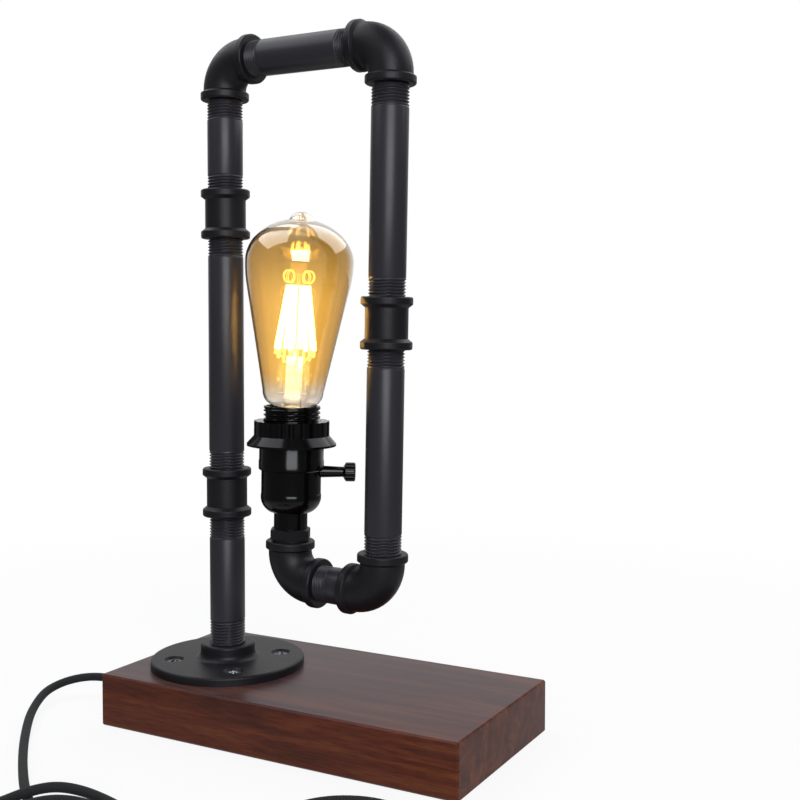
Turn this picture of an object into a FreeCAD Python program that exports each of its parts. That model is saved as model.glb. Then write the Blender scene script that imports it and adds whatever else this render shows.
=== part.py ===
import FreeCAD, Part
import math
import os

from FreeCAD import Placement, Rotation
from FreeCAD import Vector as V

# An industrial table lamp: a loop of black half-inch pipe stands on a wooden block, comes back
# down, and holds a lamp socket with a turn-knob switch and a teardrop filament bulb.
# Millimetres. X runs along the block, Y to its back and Z up. The origin is the middle of the
# block's underside.

# ---- driving dimensions: the wooden block
BASE_LENGTH, BASE_WIDTH, BASE_HEIGHT = 238.0, 118.0, 31.0
BASE_EDGE = 1.0
RISER_X, RISER_Y = -65.7, -5.0

# The wiring pocket is milled from below, and a thin board in a rebate closes it.
POCKET_X, POCKET_Y = (-104.0, -48.0), (-24.0, 12.0)
POCKET_DEPTH, POCKET_CORNER = 18.0, 6.0
COVER_MARGIN, COVER_THICK, COVER_GAP = 8.0, 3.0, 0.5
COVER_SCREW_SIZE, COVER_SCREW_INSET = (2.6, 1.4, 10.0), 4.5  # head radius, shank radius, length

# ---- driving dimensions: the loop of pipe
PIPE_R, PIPE_BORE_R = 21.3 / 2, 15.8 / 2
SOCKET_DEPTH = 11.0  # how far a pipe goes into an elbow
PIPES_APART = 6.0  # what is left between two pipes' ends in a coupling
ARM_HEIGHT = 398.4
LOOP_WIDTH = 118.4
LOOP_DROP = 307.9
RETURN_SPAN = 64.7
LOOP_TURN = -2.4  # degrees: the hand-tightened flange stops a little off square to the block
LOOP_LEAN = 1.1  # degrees: the first elbow's mouth is cut a little past square

# Each fitting's mouth has a thick rim: its radius, its flat width and the slope behind it.
ELBOW_REACH, ELBOW_BEND_R, ELBOW_BODY_R = 23.2, 17.0, 12.75
ELBOW_RIM = (14.5, 4.4, 1.2)
COUPLING_LENGTH, COUPLING_BODY_R = 29.6, 12.25
COUPLING_RIM = (14.75, 4.2, 2.0)
RIM_ROUND, RIM_SOFT = 1.2, 0.7
LOWER_COUPLING_Z, UPPER_COUPLING_Z, DROP_COUPLING_Z = 137.9, 307.1, 243.4

FLANGE_R, FLANGE_THICK, FLANGE_ROUND = 46.8, 5.0, 1.6
HUB_R, HUB_HEIGHT, HUB_FILLET = 16.5, 14.0, 3.5
FLANGE_SCREW_CIRCLE_R, FLANGE_SCREWS = 32.6, 4
SINK_R, SCREW_HOLE_R = 6.2, 2.6
SCREW_HEAD_R, SCREW_SHANK_R, SCREW_LENGTH = 4.8, 2.0, 15.0

# ---- driving dimensions: the socket. Heights are above the middle of its elbow.
BUSHING_FLATS, BUSHING_HEX = 22.2, (24.2, 30.4)
STEM_R, STEM_BORE_R, STEM_SPAN = 4.95, 3.5, (14.0, 46.5)
NECK_R, NECK_TOP = 9.9, 40.5
CUP_R, CUP_BOWL_TOP, CUP_TOP = 17.6, 51.5, 65.4
BODY_BAND_R, BODY_BAND_TOP = 19.25, 71.3
BODY_R, BODY_SHOULDER = 19.0, 82.0
SLEEVE_R, SLEEVE_TOP = 16.7, 103.0
INSIDE_R = 15.0
SET_SCREW_R, SET_SCREW_HEIGHT, SET_SCREW_SUNK = 1.5, 35.5, 0.4
CORE_BOTTOM, CORE_TOP = 57.5, 72.0
TERMINAL_X, TERMINAL_HEAD, TERMINAL_SHANK = 9.5, (3.2, 2.2), (1.5, 5.0)  # radius and height
SHELL_R, SHELL_WALL, SHELL_LEDGE, SHELL_TOP = 13.9, 0.5, 3.0, 96.0
TONGUE_X, TONGUE_THICK, TONGUE_HALF = (-7.0, -3.0, 4.0), 0.5, 2.5  # foot, rise and free end

RING_R, RING_BORE_R, RING_BOTTOM, RING_TOP = 22.2, 17.0, 82.0, 94.2
LIP_R, LIP_THICK, LIP_BOTTOM, LIP_TOP = 26.3, 1.3, 79.6, 85.6
RING_FLUTES, FLUTE_R = 20, 1.85

KNOB_HEIGHT, KNOB_TURN = 64.3, 30.9  # degrees from the loop, so that it faces past the drop pipe
KNOB_STEM_R, KNOB_WAIST_R, KNOB_STEM_START, KNOB_PLAY = 3.6, 3.0, 15.6, 0.3
KNOB_HEAD_R, KNOB_HEAD = 5.6, (31.9, 37.9)
KNOB_FLUTES, KNOB_FLUTE_R = 16, 0.7
SPINDLE_R, ROTOR_R, ROTOR_HALF, ROTOR_PLAY = 1.5, 5.0, 3.5, 0.4
ROTOR_LOBES, ROTOR_LOBE_R = 4, 1.6

# ---- driving dimensions: the bulb. Heights are above the joint of its glass and its cap.
BULB_SEAT = 99.0
BULB_LEAN = 2.7  # degrees: the glass is cemented into its cap a little out of true
BULB_R, BULB_WIDEST, BULB_DOME = 31.6, 88.5, 25.0
BULB_SHOULDER_R, BULB_SHOULDER = 17.9, 12.5
BULB_NECK_R, BULB_NECK = 12.2, (-8.0, 4.2)
BULB_TAPER_TOP = 76.5
BULB_TIP_R, BULB_TIP_TOP = 7.6, 117.6
GLASS_WALL = 0.8
CAP_R, CAP_WALL, CAP_BOTTOM, CAP_TIP = 13.1, 0.4, -20.0, -24.0
CAP_END_R, CONTACT_R, CONTACT_THICK = 9.1, (3.2, 4.6), 1.2
FLARE_R, FLARE_HEIGHT, PINCH, CENTRE_ROD_R = (5.2, 4.6), (4.0, 24.0), (8.8, 4.0, 9.0), 1.1
FILAMENTS, FILAMENT_R = 8, 0.9
FILAMENT_LOW, FILAMENT_HIGH = (11.5, 37.0), (6.0, 75.0)  # radius and height of the two ends
CURLS, CURL_R, CURL_WIRE_R, CURL_OUT, CURL_HEIGHT = 4, 3.6, 0.35, 7.4, 80.0
LEG_R, LEG_LENGTH, LEG_FOOT = 0.4, 11.0, (3.2, 28.0)  # the leads from the pinch to the filaments

# ---- driving dimensions: the cord and its plug
CORD_R = 2.6
EXIT_Y, EXIT_Z = -18.0, 13.0
RELIEF_LENGTH, RELIEF_COLLAR_R, RELIEF_ROOT_R, RELIEF_TIP_R = 24.0, 6.5, 4.6, 3.3
# Hand-laid route from the strain relief: out of the block's end, down to the table and round
# in two loose loops that pass over the first stretch.
LEAD = [
    (-119, EXIT_Y, EXIT_Z), (-131, -18, 12.98), (-143, -18.05, 12.85), (-154, -18.3, 12.6),
    (-164, -19.8, 12.1), (-172, -25, 11.2), (-177, -34, 9.9), (-177.6, -46, 8.1), (-171.5, -59, 6.5),
    (-161.5, -74.5, 4.8), (-147, -91.5, 3.4), (-127, -112.5, 2.7), (-104, -134.5, 2.6),
    (-80, -155.5, 2.6), (-57, -172, 2.6), (-37, -187, 2.6), (-22, -202, 2.6), (-17.5, -219, 2.6),
    (-25, -235, 2.6), (-40, -243.5, 2.6), (-57, -240, 2.6), (-67.5, -227, 2.6), (-68.5, -210.5, 2.8),
    (-63.5, -195.5, 4.2), (-57.5, -181, 7.8), (-51, -168, 8.2), (-42.5, -159, 6.0), (-31, -155.5, 3.8),
    (-19.5, -158.5, 2.7), (-11.5, -167.5, 2.6), (-8.2, -179.5, 3.0), (-10.5, -192, 5.2),
    (-18, -202.5, 7.8), (-29, -210, 8.2), (-42, -213.5, 8.2), (-54.5, -211.5, 9.1), (-64, -203, 9.9),
    (-69, -191, 8.6), (-70, -178, 7.4), (-67.3, -165, 8.0), (-60.5, -153.7, 8.0), (-49, -147.2, 5.8),
    (-33, -145.6, 3.0), (-17, -150, 2.6), (-5.5, -161, 2.6), (-1, -175, 2.6),
]
COIL_X, COIL_Y, COIL_R, COIL_WIDE, COIL_HIGH = 31.0, -184.0, 26.5, 3, 2
COIL_ENTRY, COIL_LEAVE, COIL_ROUND = 190.0, 0.0, 0.9
TAIL_MIDDLE = [
    (63.4, -171, 7.2), (60.5, -156.5, 5.6), (55, -141.5, 4.0), (50.8, -125.5, 2.9), (52.5, -106.5, 2.6),
    (64.5, -89.5, 2.6), (86, -81.5, 2.6), (110, -87.5, 2.6), (126, -106, 2.6), (131, -131, 4.0),
]
# Inside the lamp: from the hole in the block's end to the foot of the riser.
POCKET_RUN = [(-87.7, EXIT_Y, EXIT_Z), (-75.7, -12.5, 7.5), (-67.2, -6, 9.5)]
CORNER_CUT = 10.0  # the cord takes each elbow in two half turns
LEADS_DROP, CORE_WIRE_R, CORE_WIRE_RUN = 8.0, 0.9, (1.2, 5.5, 5.2)
CLAMP_X, CLAMP_WIDE, CLAMP_WALL, CLAMP_TOE = -98.0, 8.0, 1.0, 5.0
CLAMP_SCREW_Y, CLAMP_SCREW_Z, CLAMP_SCREW_HEAD, CLAMP_SCREW_SHANK = -8.0, 16.2, (2.8, 2.0), (1.4, 9.0)

PLUG_AT, PLUG_TURN = (127.5, -155.0, 7.5), -97.0  # where the cord enters, and the way it points
PLUG_RELIEF, PLUG_RELIEF_R = 22.0, (3.2, 5.2)
PLUG_LENGTH, PLUG_WIDE, PLUG_HIGH = 32.0, 23.0, 15.0
PLUG_NECK, PLUG_SHOULDER, PLUG_CORNER = (13.0, 11.0), 14.0, 4.5
BLADE_LENGTH, BLADE_WIDE, BLADE_THICK, BLADE_APART = 16.0, 6.3, 1.5, 12.7
BLADE_TIP_R, BLADE_HOLE_R, BLADE_HOLE_BACK = 1.8, 1.5, 4.5

X, Y, Z = V(1, 0, 0), V(0, 1, 0), V(0, 0, 1)
LOW_HEIGHT = ARM_HEIGHT - LOOP_DROP
SOCKET_X = LOOP_WIDTH - RETURN_SPAN
BITE = ELBOW_REACH - SOCKET_DEPTH  # from an elbow's corner to the end of its pipe
GRIP = PIPES_APART / 2
COIL_OUTER_R = COIL_R + CORD_R * (COIL_WIDE - 1)
COIL_TOP = CORD_R * (2 * COIL_HIGH - 1)

# Where each group of pieces stands: the loop's foot, everything past the first elbow, the
# socket's own axis, the switch's axis, the plug and the bulb.
LOOP = Placement(V(RISER_X, RISER_Y, 0), Rotation(Z, LOOP_TURN))
ARM = LOOP * Placement(V(), Rotation(Y, LOOP_LEAN), V(0, 0, ARM_HEIGHT))
SOCKET = ARM * Placement(V(SOCKET_X, 0, LOW_HEIGHT), Rotation())
KNOB_AXIS = SOCKET * Placement(V(0, 0, KNOB_HEIGHT), Rotation(Z, KNOB_TURN) * Rotation(Y, 90))
DROP = ARM * Placement(V(LOOP_WIDTH, 0, 0), Rotation())
PLUG = Placement(V(*PLUG_AT), Rotation(Z, PLUG_TURN) * Rotation(Y, 90))
CAP = SOCKET * Placement(V(0, 0, BULB_SEAT), Rotation())
GLASS = SOCKET * Placement(V(0, 0, BULB_SEAT), Rotation(Y, BULB_LEAN))


# ---- general shapes
def put(shape, *places):
    """The shape moved by each placement, the last one first."""
    moved = shape.copy()
    for place in reversed(places):
        moved.Placement = place * moved.Placement
    return moved


def rod(radius, low, high):
    """A cylinder along Z between two heights."""
    return Part.makeCylinder(radius, high - low, V(0, 0, low))


def tube(radius, bore, low, high):
    return rod(radius, low, high).cut(rod(bore, low, high))


def turned(profile):
    """A solid of revolution about Z. The profile lists (radius, height) corners."""
    corners = [V(r, 0, z) for r, z in profile]
    return Part.Face(Part.makePolygon(corners + corners[:1])).revolve(V(), Z, 360)


def turned_edges(edges):
    """A solid of revolution about Z from edges that close in the XZ plane."""
    return Part.Face(Part.Wire(edges)).revolve(V(), Z, 360)


def box(x, y, z):
    """A block between two places along each axis."""
    return Part.makeBox(x[1] - x[0], y[1] - y[0], z[1] - z[0], V(x[0], y[0], z[0]))


def around(shape, count, start=0.0):
    """Copies of a shape at even angles about Z."""
    return [put(shape, Placement(V(), Rotation(Z, start + i * 360 / count))) for i in range(count)]


def circles_at(shape, radius, height):
    """The round edges about Z with that radius and height."""
    found = []
    for edge in shape.Edges:
        if edge.Curve.TypeId == "Part::GeomCircle" and abs(edge.Curve.Radius - radius) < 1e-4:
            if abs(edge.Curve.Center.z - height) < 1e-4:
                found.append(edge)
    return found


def arc(a, middle, b):
    return Part.Arc(V(a[0], 0, a[1]), V(middle[0], 0, middle[1]), V(b[0], 0, b[1])).toShape()


def line(a, b):
    return Part.makeLine(V(a[0], 0, a[1]), V(b[0], 0, b[1]))


# ---- the wooden block and what is screwed to it
def screw(head_r, shank_r, length):
    """A countersunk wood screw, head up, with the top of its head at height 0."""
    cone = head_r - shank_r
    tip = shank_r
    return turned([(0, 0), (head_r, 0), (shank_r, -cone), (shank_r, tip - length), (0, -length)])


def flange_screw_places():
    """The tops of the flange's screw heads, seated in their countersinks."""
    seat = BASE_HEIGHT + FLANGE_THICK - (SINK_R - SCREW_HEAD_R)
    step = 360 / FLANGE_SCREWS
    places = []
    for i in range(FLANGE_SCREWS):
        turn = Rotation(Z, step * (i + 0.5))
        places.append(LOOP * Placement(turn.multVec(V(FLANGE_SCREW_CIRCLE_R, 0, seat)), turn))
    return places


def cover_outline(margin, low, high):
    """The pocket's outline, grown by a margin, as a block with rounded corners."""
    x = (POCKET_X[0] - margin, POCKET_X[1] + margin)
    y = (POCKET_Y[0] - margin, POCKET_Y[1] + margin)
    block = box(x, y, (low, high))
    upright = [e for e in block.Edges if abs(e.BoundBox.ZLength - (high - low)) < 1e-6]
    return block.makeFillet(POCKET_CORNER, upright)


def cover_screw_places():
    """The cover's screws stand head down in its four corners."""
    edge = COVER_MARGIN - COVER_SCREW_INSET
    x = (POCKET_X[0] - edge, POCKET_X[1] + edge)
    y = (POCKET_Y[0] - edge, POCKET_Y[1] + edge)
    flip = Rotation(X, 180)
    return [Placement(V(px, py, COVER_GAP), flip) for px in x for py in y]


def cover_screw_set():
    return [put(screw(*COVER_SCREW_SIZE), place) for place in cover_screw_places()]


def flange_screw_set():
    size = SCREW_HEAD_R, SCREW_SHANK_R, SCREW_LENGTH
    return [put(screw(*size), place) for place in flange_screw_places()]


def wood_base():
    half_x, half_y = BASE_LENGTH / 2, BASE_WIDTH / 2
    block = box((-half_x, half_x), (-half_y, half_y), (0, BASE_HEIGHT))
    block = block.makeChamfer(BASE_EDGE, block.Edges)
    cuts = [
        cover_outline(0, 0, POCKET_DEPTH),
        cover_outline(COVER_MARGIN, -1, COVER_GAP + COVER_THICK),
        put(rod(PIPE_R + 1, POCKET_DEPTH - 1, BASE_HEIGHT + 1), LOOP),
        Part.makeCylinder(RELIEF_ROOT_R, 20, V(-BASE_LENGTH / 2 - 1, EXIT_Y, EXIT_Z), X),
    ]
    return block.cut(cuts + flange_screw_set() + cover_screw_set() + [clamp_screw()])


def base_cover():
    plate = cover_outline(COVER_MARGIN - 0.2, COVER_GAP, COVER_GAP + COVER_THICK)
    return plate.cut(cover_screw_set())


def cover_screws():
    return Part.makeCompound(cover_screw_set())


def floor_flange():
    """A round plate with a threaded hub in the middle and four countersunk holes."""
    low, face, top = BASE_HEIGHT, BASE_HEIGHT + FLANGE_THICK, BASE_HEIGHT + HUB_HEIGHT
    body = turned([(0, low), (FLANGE_R, low), (FLANGE_R, face), (HUB_R, face), (HUB_R, top), (0, top)])
    body = body.makeFillet(HUB_FILLET, circles_at(body, HUB_R, face))
    edges = circles_at(body, FLANGE_R, face) + circles_at(body, HUB_R, top)
    body = body.makeFillet(FLANGE_ROUND, edges)
    cone_foot = FLANGE_THICK - (SINK_R - SCREW_HOLE_R)
    profile = [(0, 0), (SCREW_HOLE_R, 0), (SCREW_HOLE_R, cone_foot)]
    profile += [(SINK_R, FLANGE_THICK), (0, FLANGE_THICK)]
    sink = put(turned(profile), Placement(V(FLANGE_SCREW_CIRCLE_R, 0, low), Rotation()))
    sinks = around(sink, FLANGE_SCREWS, 180 / FLANGE_SCREWS)
    return put(body.cut(sinks + [rod(PIPE_R, low, top)]), LOOP)


def flange_screws():
    return Part.makeCompound(flange_screw_set())


# ---- pipes and fittings
def pipe(low, high):
    return tube(PIPE_R, PIPE_BORE_R, low, high)


def riser(low, high):
    return put(pipe(low, high), LOOP)


def drop_pipe(low, high):
    return put(pipe(low, high), DROP)


def level_pipe(start, end, height):
    """A nipple that runs along the loop, between two fittings."""
    return put(pipe(start, end), ARM * Placement(V(0, 0, height), Rotation(Y, 90)))


def rim(size, body_r, mouth):
    """The thick rim round a mouth that faces up: rounded outside, and sloped down to the body."""
    radius, flat, slope = size
    low = mouth - flat
    ring = turned([(0, low - slope), (body_r, low - slope), (radius, low), (radius, mouth), (0, mouth)])
    ring = ring.makeFillet(RIM_SOFT, circles_at(ring, radius, low))
    return ring.makeFillet(RIM_ROUND, circles_at(ring, radius, mouth))


def coupling(height):
    """A straight sleeve with a rim at each end. Both pipes screw in from its ends."""
    half = COUPLING_LENGTH / 2
    upper = rim(COUPLING_RIM, COUPLING_BODY_R, half)
    lower = put(upper, Placement(V(), Rotation(X, 180)))
    body = rod(COUPLING_BODY_R, 1 - half, half - 1).fuse([upper, lower]).removeSplitter()
    return put(body.cut(rod(PIPE_R, -half - 1, half + 1)), Placement(V(0, 0, height), Rotation()))


def elbow(bend=90.0):
    """A bend with its corner at the origin, one mouth down and the other along X.

    The waterway narrows behind each threaded mouth, so each pipe stops against a shoulder.
    """
    tangent = ELBOW_BEND_R * math.tan(math.radians(bend / 2))
    start, middle = V(0, 0, -tangent), V(ELBOW_BEND_R, 0, -tangent)

    def bent(radius):
        face = Part.Face(Part.Wire(Part.makeCircle(radius, start, Z)))
        return face.revolve(middle, Y, bend)

    down = Placement(V(), Rotation(X, 180))
    along = Placement(V(), Rotation(Y, bend))
    legs, bores = [], []
    for mouth in (down, along):
        legs.append(put(rod(ELBOW_BODY_R, tangent, ELBOW_REACH - 1), mouth))
        legs.append(put(rim(ELBOW_RIM, ELBOW_BODY_R, ELBOW_REACH), mouth))
        bores.append(put(rod(PIPE_R, ELBOW_REACH - SOCKET_DEPTH, ELBOW_REACH + 1), mouth))
    return bent(ELBOW_BODY_R).fuse(legs).removeSplitter().cut([bent(PIPE_BORE_R)] + bores)


def riser_elbow():
    return put(elbow(90 + LOOP_LEAN), LOOP * Placement(V(0, 0, ARM_HEIGHT), Rotation()))


def drop_elbow():
    return put(elbow(), ARM * Placement(V(LOOP_WIDTH, 0, ARM_HEIGHT), Rotation(Z, 180)))


def return_elbow():
    return put(elbow(), ARM * Placement(V(LOOP_WIDTH, 0, LOW_HEIGHT), Rotation(Y, 180)))


def socket_elbow():
    return put(elbow(), SOCKET * Placement(V(), Rotation(X, 180)))


# ---- the socket
def hex_bushing():
    """It steps the pipe thread down to the thin lamp thread."""
    low, high = BUSHING_HEX
    corner = BUSHING_FLATS / 2 / math.cos(math.radians(30))
    corners = [Rotation(Z, 60 * i).multVec(V(corner, 0, low)) for i in range(7)]
    head = Part.Face(Part.makePolygon(corners)).extrude(V(0, 0, high - low))
    chamfer = corner - BUSHING_FLATS / 2
    head = head.common(turned([(0, low), (corner, low), (corner, high - chamfer / 2),
                               (BUSHING_FLATS / 2, high), (0, high)]))
    thread = rod(PIPE_R, ELBOW_REACH - SOCKET_DEPTH, low)
    return put(head.fuse(thread).cut(rod(STEM_R, 0, high + 1)), SOCKET)


def lamp_nipple():
    return put(tube(STEM_R, STEM_BORE_R, *STEM_SPAN), SOCKET)


def socket_cap():
    """The lower half of the shell: a neck, and a bowl that opens into a straight cup."""
    foot, wall = BUSHING_HEX[1], CUP_R - INSIDE_R
    step = NECK_R + 2.6
    bend = math.sqrt(0.5)
    bowl_mid = (step + (CUP_R - step) * bend, CUP_BOWL_TOP - (CUP_BOWL_TOP - NECK_TOP) * bend)
    floor = NECK_TOP + wall + 1
    inner_mid = (STEM_R + 3 + (INSIDE_R - STEM_R - 3) * bend, CUP_BOWL_TOP - (CUP_BOWL_TOP - floor) * bend)
    shell = turned_edges([
        line((STEM_R, foot), (NECK_R, foot)),
        line((NECK_R, foot), (NECK_R, NECK_TOP)),
        line((NECK_R, NECK_TOP), (step, NECK_TOP)),
        arc((step, NECK_TOP), bowl_mid, (CUP_R, CUP_BOWL_TOP)),
        line((CUP_R, CUP_BOWL_TOP), (CUP_R, CUP_TOP)),
        line((CUP_R, CUP_TOP), (INSIDE_R, CUP_TOP)),
        line((INSIDE_R, CUP_TOP), (INSIDE_R, CUP_BOWL_TOP)),
        arc((INSIDE_R, CUP_BOWL_TOP), inner_mid, (STEM_R + 3, floor)),
        line((STEM_R + 3, floor), (STEM_R, floor)),
        line((STEM_R, floor), (STEM_R, foot)),
    ])
    return put(shell.cut([set_screw(), knob_hole()]), SOCKET)


def set_screw():
    """The grub screw in the neck's back, in the socket's own frame."""
    grub = rod(SET_SCREW_R, STEM_R, NECK_R - SET_SCREW_SUNK)
    return put(grub, Placement(V(0, 0, SET_SCREW_HEIGHT), Rotation(X, -90)))


def socket_set_screw():
    """It bites on the lamp nipple and keeps the socket from turning."""
    return put(set_screw(), SOCKET)


def knob_hole():
    """The hole that the knob's stem comes out of, in the socket's own frame."""
    hole = Part.makeCylinder(KNOB_STEM_R + KNOB_PLAY, BODY_BAND_R, V(INSIDE_R - 3, 0, KNOB_HEIGHT), X)
    return put(hole, Placement(V(), Rotation(Z, KNOB_TURN)))


def socket_body():
    """The upper half of the shell: a band, a plain barrel and the threaded sleeve."""
    shell = turned([
        (INSIDE_R, CUP_TOP), (BODY_BAND_R, CUP_TOP), (BODY_BAND_R, BODY_BAND_TOP),
        (BODY_R, BODY_BAND_TOP), (BODY_R, BODY_SHOULDER), (SLEEVE_R, BODY_SHOULDER),
        (SLEEVE_R, SLEEVE_TOP), (INSIDE_R, SLEEVE_TOP),
    ])
    return put(shell.cut(knob_hole()), SOCKET)


def socket_core():
    """The insulator between the shells. It carries the screw shell, the terminals and the switch."""
    body = rod(INSIDE_R, CORE_BOTTOM, CORE_TOP)
    turn = Placement(V(0, 0, KNOB_HEIGHT), Rotation(Z, KNOB_TURN) * Rotation(Y, 90))
    half = ROTOR_HALF + ROTOR_PLAY
    well = put(rod(ROTOR_R + ROTOR_PLAY, -half, half), turn)
    bearing = put(rod(SPINDLE_R + 0.05, 0, INSIDE_R + 1), turn)
    mouth = put(rod(KNOB_STEM_R + KNOB_PLAY, INSIDE_R - 1, INSIDE_R + 1), turn)
    return put(body.cut([well, bearing, mouth] + terminals()), SOCKET)


def terminals():
    """Two binding screws under the core, one for each wire, in the socket's own frame."""
    (head_r, head), (shank_r, shank) = TERMINAL_HEAD, TERMINAL_SHANK
    side = rod(head_r, CORE_BOTTOM - head, CORE_BOTTOM)
    side = side.fuse(rod(shank_r, CORE_BOTTOM - 1, CORE_BOTTOM + shank))
    return [put(side, Placement(V(x, 0, 0), Rotation())) for x in (-TERMINAL_X, TERMINAL_X)]


def terminal_screws():
    return put(Part.makeCompound(terminals()), SOCKET)


def screw_shell():
    """The thin brass thread that the bulb's cap screws into, open at both ends."""
    bore, floor = SHELL_R - SHELL_WALL, CORE_TOP + SHELL_WALL
    ledge = bore - SHELL_LEDGE
    outside = [(ledge, CORE_TOP), (SHELL_R, CORE_TOP), (SHELL_R, SHELL_TOP)]
    return put(turned(outside + [(bore, SHELL_TOP), (bore, floor), (ledge, floor)]), SOCKET)


def centre_contact():
    """A sprung brass tongue: a foot on the core, and a bridge that the bulb's tip presses on."""
    foot_x, rise_x, end_x = TONGUE_X
    top, wide = BULB_SEAT + CAP_TIP, (-TONGUE_HALF, TONGUE_HALF)
    foot = box((foot_x, rise_x), wide, (CORE_TOP, CORE_TOP + TONGUE_THICK))
    rise = box((rise_x - TONGUE_THICK, rise_x), wide, (CORE_TOP, top))
    tongue = box((rise_x - TONGUE_THICK, end_x), wide, (top - TONGUE_THICK, top))
    return put(foot.fuse([rise, tongue]).removeSplitter(), SOCKET)


def shade_ring():
    """A fluted nut on the sleeve's thread. Its flared lip clamps a lampshade's collar."""
    nut = rod(RING_R, LIP_TOP - 1.5, RING_TOP)
    flute = rod(FLUTE_R, LIP_TOP, RING_TOP + 1)
    spot = Placement(V(RING_R + FLUTE_R * 0.45, 0, 0), Rotation())
    nut = nut.cut(around(put(flute, spot), RING_FLUTES))
    inside, under = BODY_R + 0.8, LIP_TOP - 2
    lip = turned([
        (RING_BORE_R, under), (inside, under), (LIP_R - LIP_THICK, LIP_BOTTOM), (LIP_R, LIP_BOTTOM),
        (LIP_R, LIP_BOTTOM + LIP_THICK), (RING_R, LIP_TOP), (RING_BORE_R, LIP_TOP),
    ])
    seat = tube(BODY_R, RING_BORE_R, RING_BOTTOM, LIP_TOP)
    return put(nut.fuse([lip, seat]).cut(rod(RING_BORE_R, RING_BOTTOM - 1, RING_TOP + 1)), SOCKET)


# ---- the turn-knob switch, built along its own axis
def switch_knob():
    """A moulded, tapered stem with a fluted head."""
    start, end = KNOB_HEAD
    edge = 0.6
    knob = turned([
        (0, KNOB_STEM_START), (KNOB_STEM_R, KNOB_STEM_START), (KNOB_WAIST_R, start - 2 * edge),
        (KNOB_HEAD_R - edge, start), (KNOB_HEAD_R, start + edge), (KNOB_HEAD_R, end - edge),
        (KNOB_HEAD_R - edge, end), (0, end),
    ])
    spot = Placement(V(KNOB_HEAD_R + KNOB_FLUTE_R / 2, 0, 0), Rotation())
    flute = put(rod(KNOB_FLUTE_R, start - 1, end + 1), spot)
    return put(knob.cut(around(flute, KNOB_FLUTES) + [rod(SPINDLE_R, KNOB_STEM_START - 1, start)]), KNOB_AXIS)


def switch_spindle():
    return put(rod(SPINDLE_R, -ROTOR_HALF, KNOB_HEAD[0]), KNOB_AXIS)


def switch_rotor():
    """The cam on the spindle that closes the contact at every second quarter turn."""
    cam = tube(ROTOR_R, SPINDLE_R, -ROTOR_HALF, ROTOR_HALF)
    lobe = rod(ROTOR_LOBE_R, -ROTOR_HALF - 1, ROTOR_HALF + 1)
    lobe = put(lobe, Placement(V(ROTOR_R + ROTOR_LOBE_R / 3, 0, 0), Rotation()))
    return put(cam.cut(around(lobe, ROTOR_LOBES)), KNOB_AXIS)


# ---- the bulb
def bulb_form(inset):
    """The teardrop, drawn in by a wall's thickness: a solid without a hollow."""
    wide, neck, shoulder = BULB_R - inset, BULB_NECK_R - inset, BULB_SHOULDER_R - inset
    dome, tip = BULB_DOME - inset, BULB_TIP_R - inset
    low, (neck_low, neck_high) = BULB_SHOULDER + inset / 2, BULB_NECK
    up = Part.Ellipse(V(wide, 0, BULB_WIDEST), V(0, 0, BULB_WIDEST + dome), V(0, 0, BULB_WIDEST))
    tip_turn = math.acos(tip / wide)
    curve = Part.ArcOfEllipse(up, 0, tip_turn)
    tip_start = BULB_WIDEST + dome * math.sin(tip_turn)
    tip_end = BULB_TIP_TOP - inset
    tip_ball = (tip**2 + (tip_end - tip_start) ** 2) / 2 / (tip_end - tip_start)
    half = math.asin(tip / tip_ball) / 2
    tip_middle = (tip_ball * math.sin(half), tip_end - tip_ball * (1 - math.cos(half)))
    taper_top_r = wide - 1.0
    return turned_edges([
        line((0, neck_low), (neck, neck_low)),
        line((neck, neck_low), (neck, neck_high)),
        arc((neck, neck_high), ((neck + shoulder) / 2 + 1.3, (neck_high + low) / 2 - 0.95), (shoulder, low)),
        line((shoulder, low), (taper_top_r, BULB_TAPER_TOP)),
        arc((taper_top_r, BULB_TAPER_TOP), (wide - 0.27, BULB_WIDEST - 6), (wide, BULB_WIDEST)),
        curve.toShape(),
        arc((tip, tip_start), tip_middle, (0, tip_end)),
        line((0, tip_end), (0, neck_low)),
    ])


def bulb_glass():
    return put(bulb_form(0).cut(bulb_form(GLASS_WALL)), GLASS)


def bulb_cap():
    """The screwed metal cap: a collar round the glass, the threaded barrel and its rolled end."""
    turn_in = CAP_BOTTOM + 3
    inner = CAP_R - CAP_WALL
    outside = [(CAP_END_R, CAP_BOTTOM), (CAP_R, turn_in), (CAP_R, 0)]
    inside = [(inner, 0), (inner, turn_in + CAP_WALL / 2), (CAP_END_R, CAP_BOTTOM + CAP_WALL)]
    return put(turned(outside + inside), CAP)


def cap_insulator():
    """The black glass cone between the cap and its centre contact."""
    low, high, wide = CAP_TIP + CONTACT_THICK, CAP_BOTTOM + 2, CAP_END_R
    return put(turned([(0, low), (CONTACT_R[1], low), (wide, CAP_BOTTOM), (wide, high), (0, high)]), CAP)


def cap_contact():
    top = CAP_TIP + CONTACT_THICK
    return put(turned([(0, CAP_TIP), (CONTACT_R[0], CAP_TIP), (CONTACT_R[1], top), (0, top)]), CAP)


def glass_stem():
    """The flare that closes the bulb's neck, its tube, the flat pinch and the thin centre rod."""
    low, seal_r = BULB_NECK[0], BULB_NECK_R - GLASS_WALL - 0.1
    (foot_r, top_r), (foot, top), (wide, thick, tall) = FLARE_R, FLARE_HEIGHT, PINCH
    flare = turned([(0, low), (seal_r, low), (seal_r, low + 1.2), (foot_r, foot), (top_r, top), (0, top)])
    pinch = box((-wide / 2, wide / 2), (-thick / 2, thick / 2), (top - 1, top + tall))
    centre_rod = rod(CENTRE_ROD_R, top + tall - 1, CURL_HEIGHT + 2)
    return put(flare.fuse([pinch, centre_rod]), GLASS)


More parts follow.
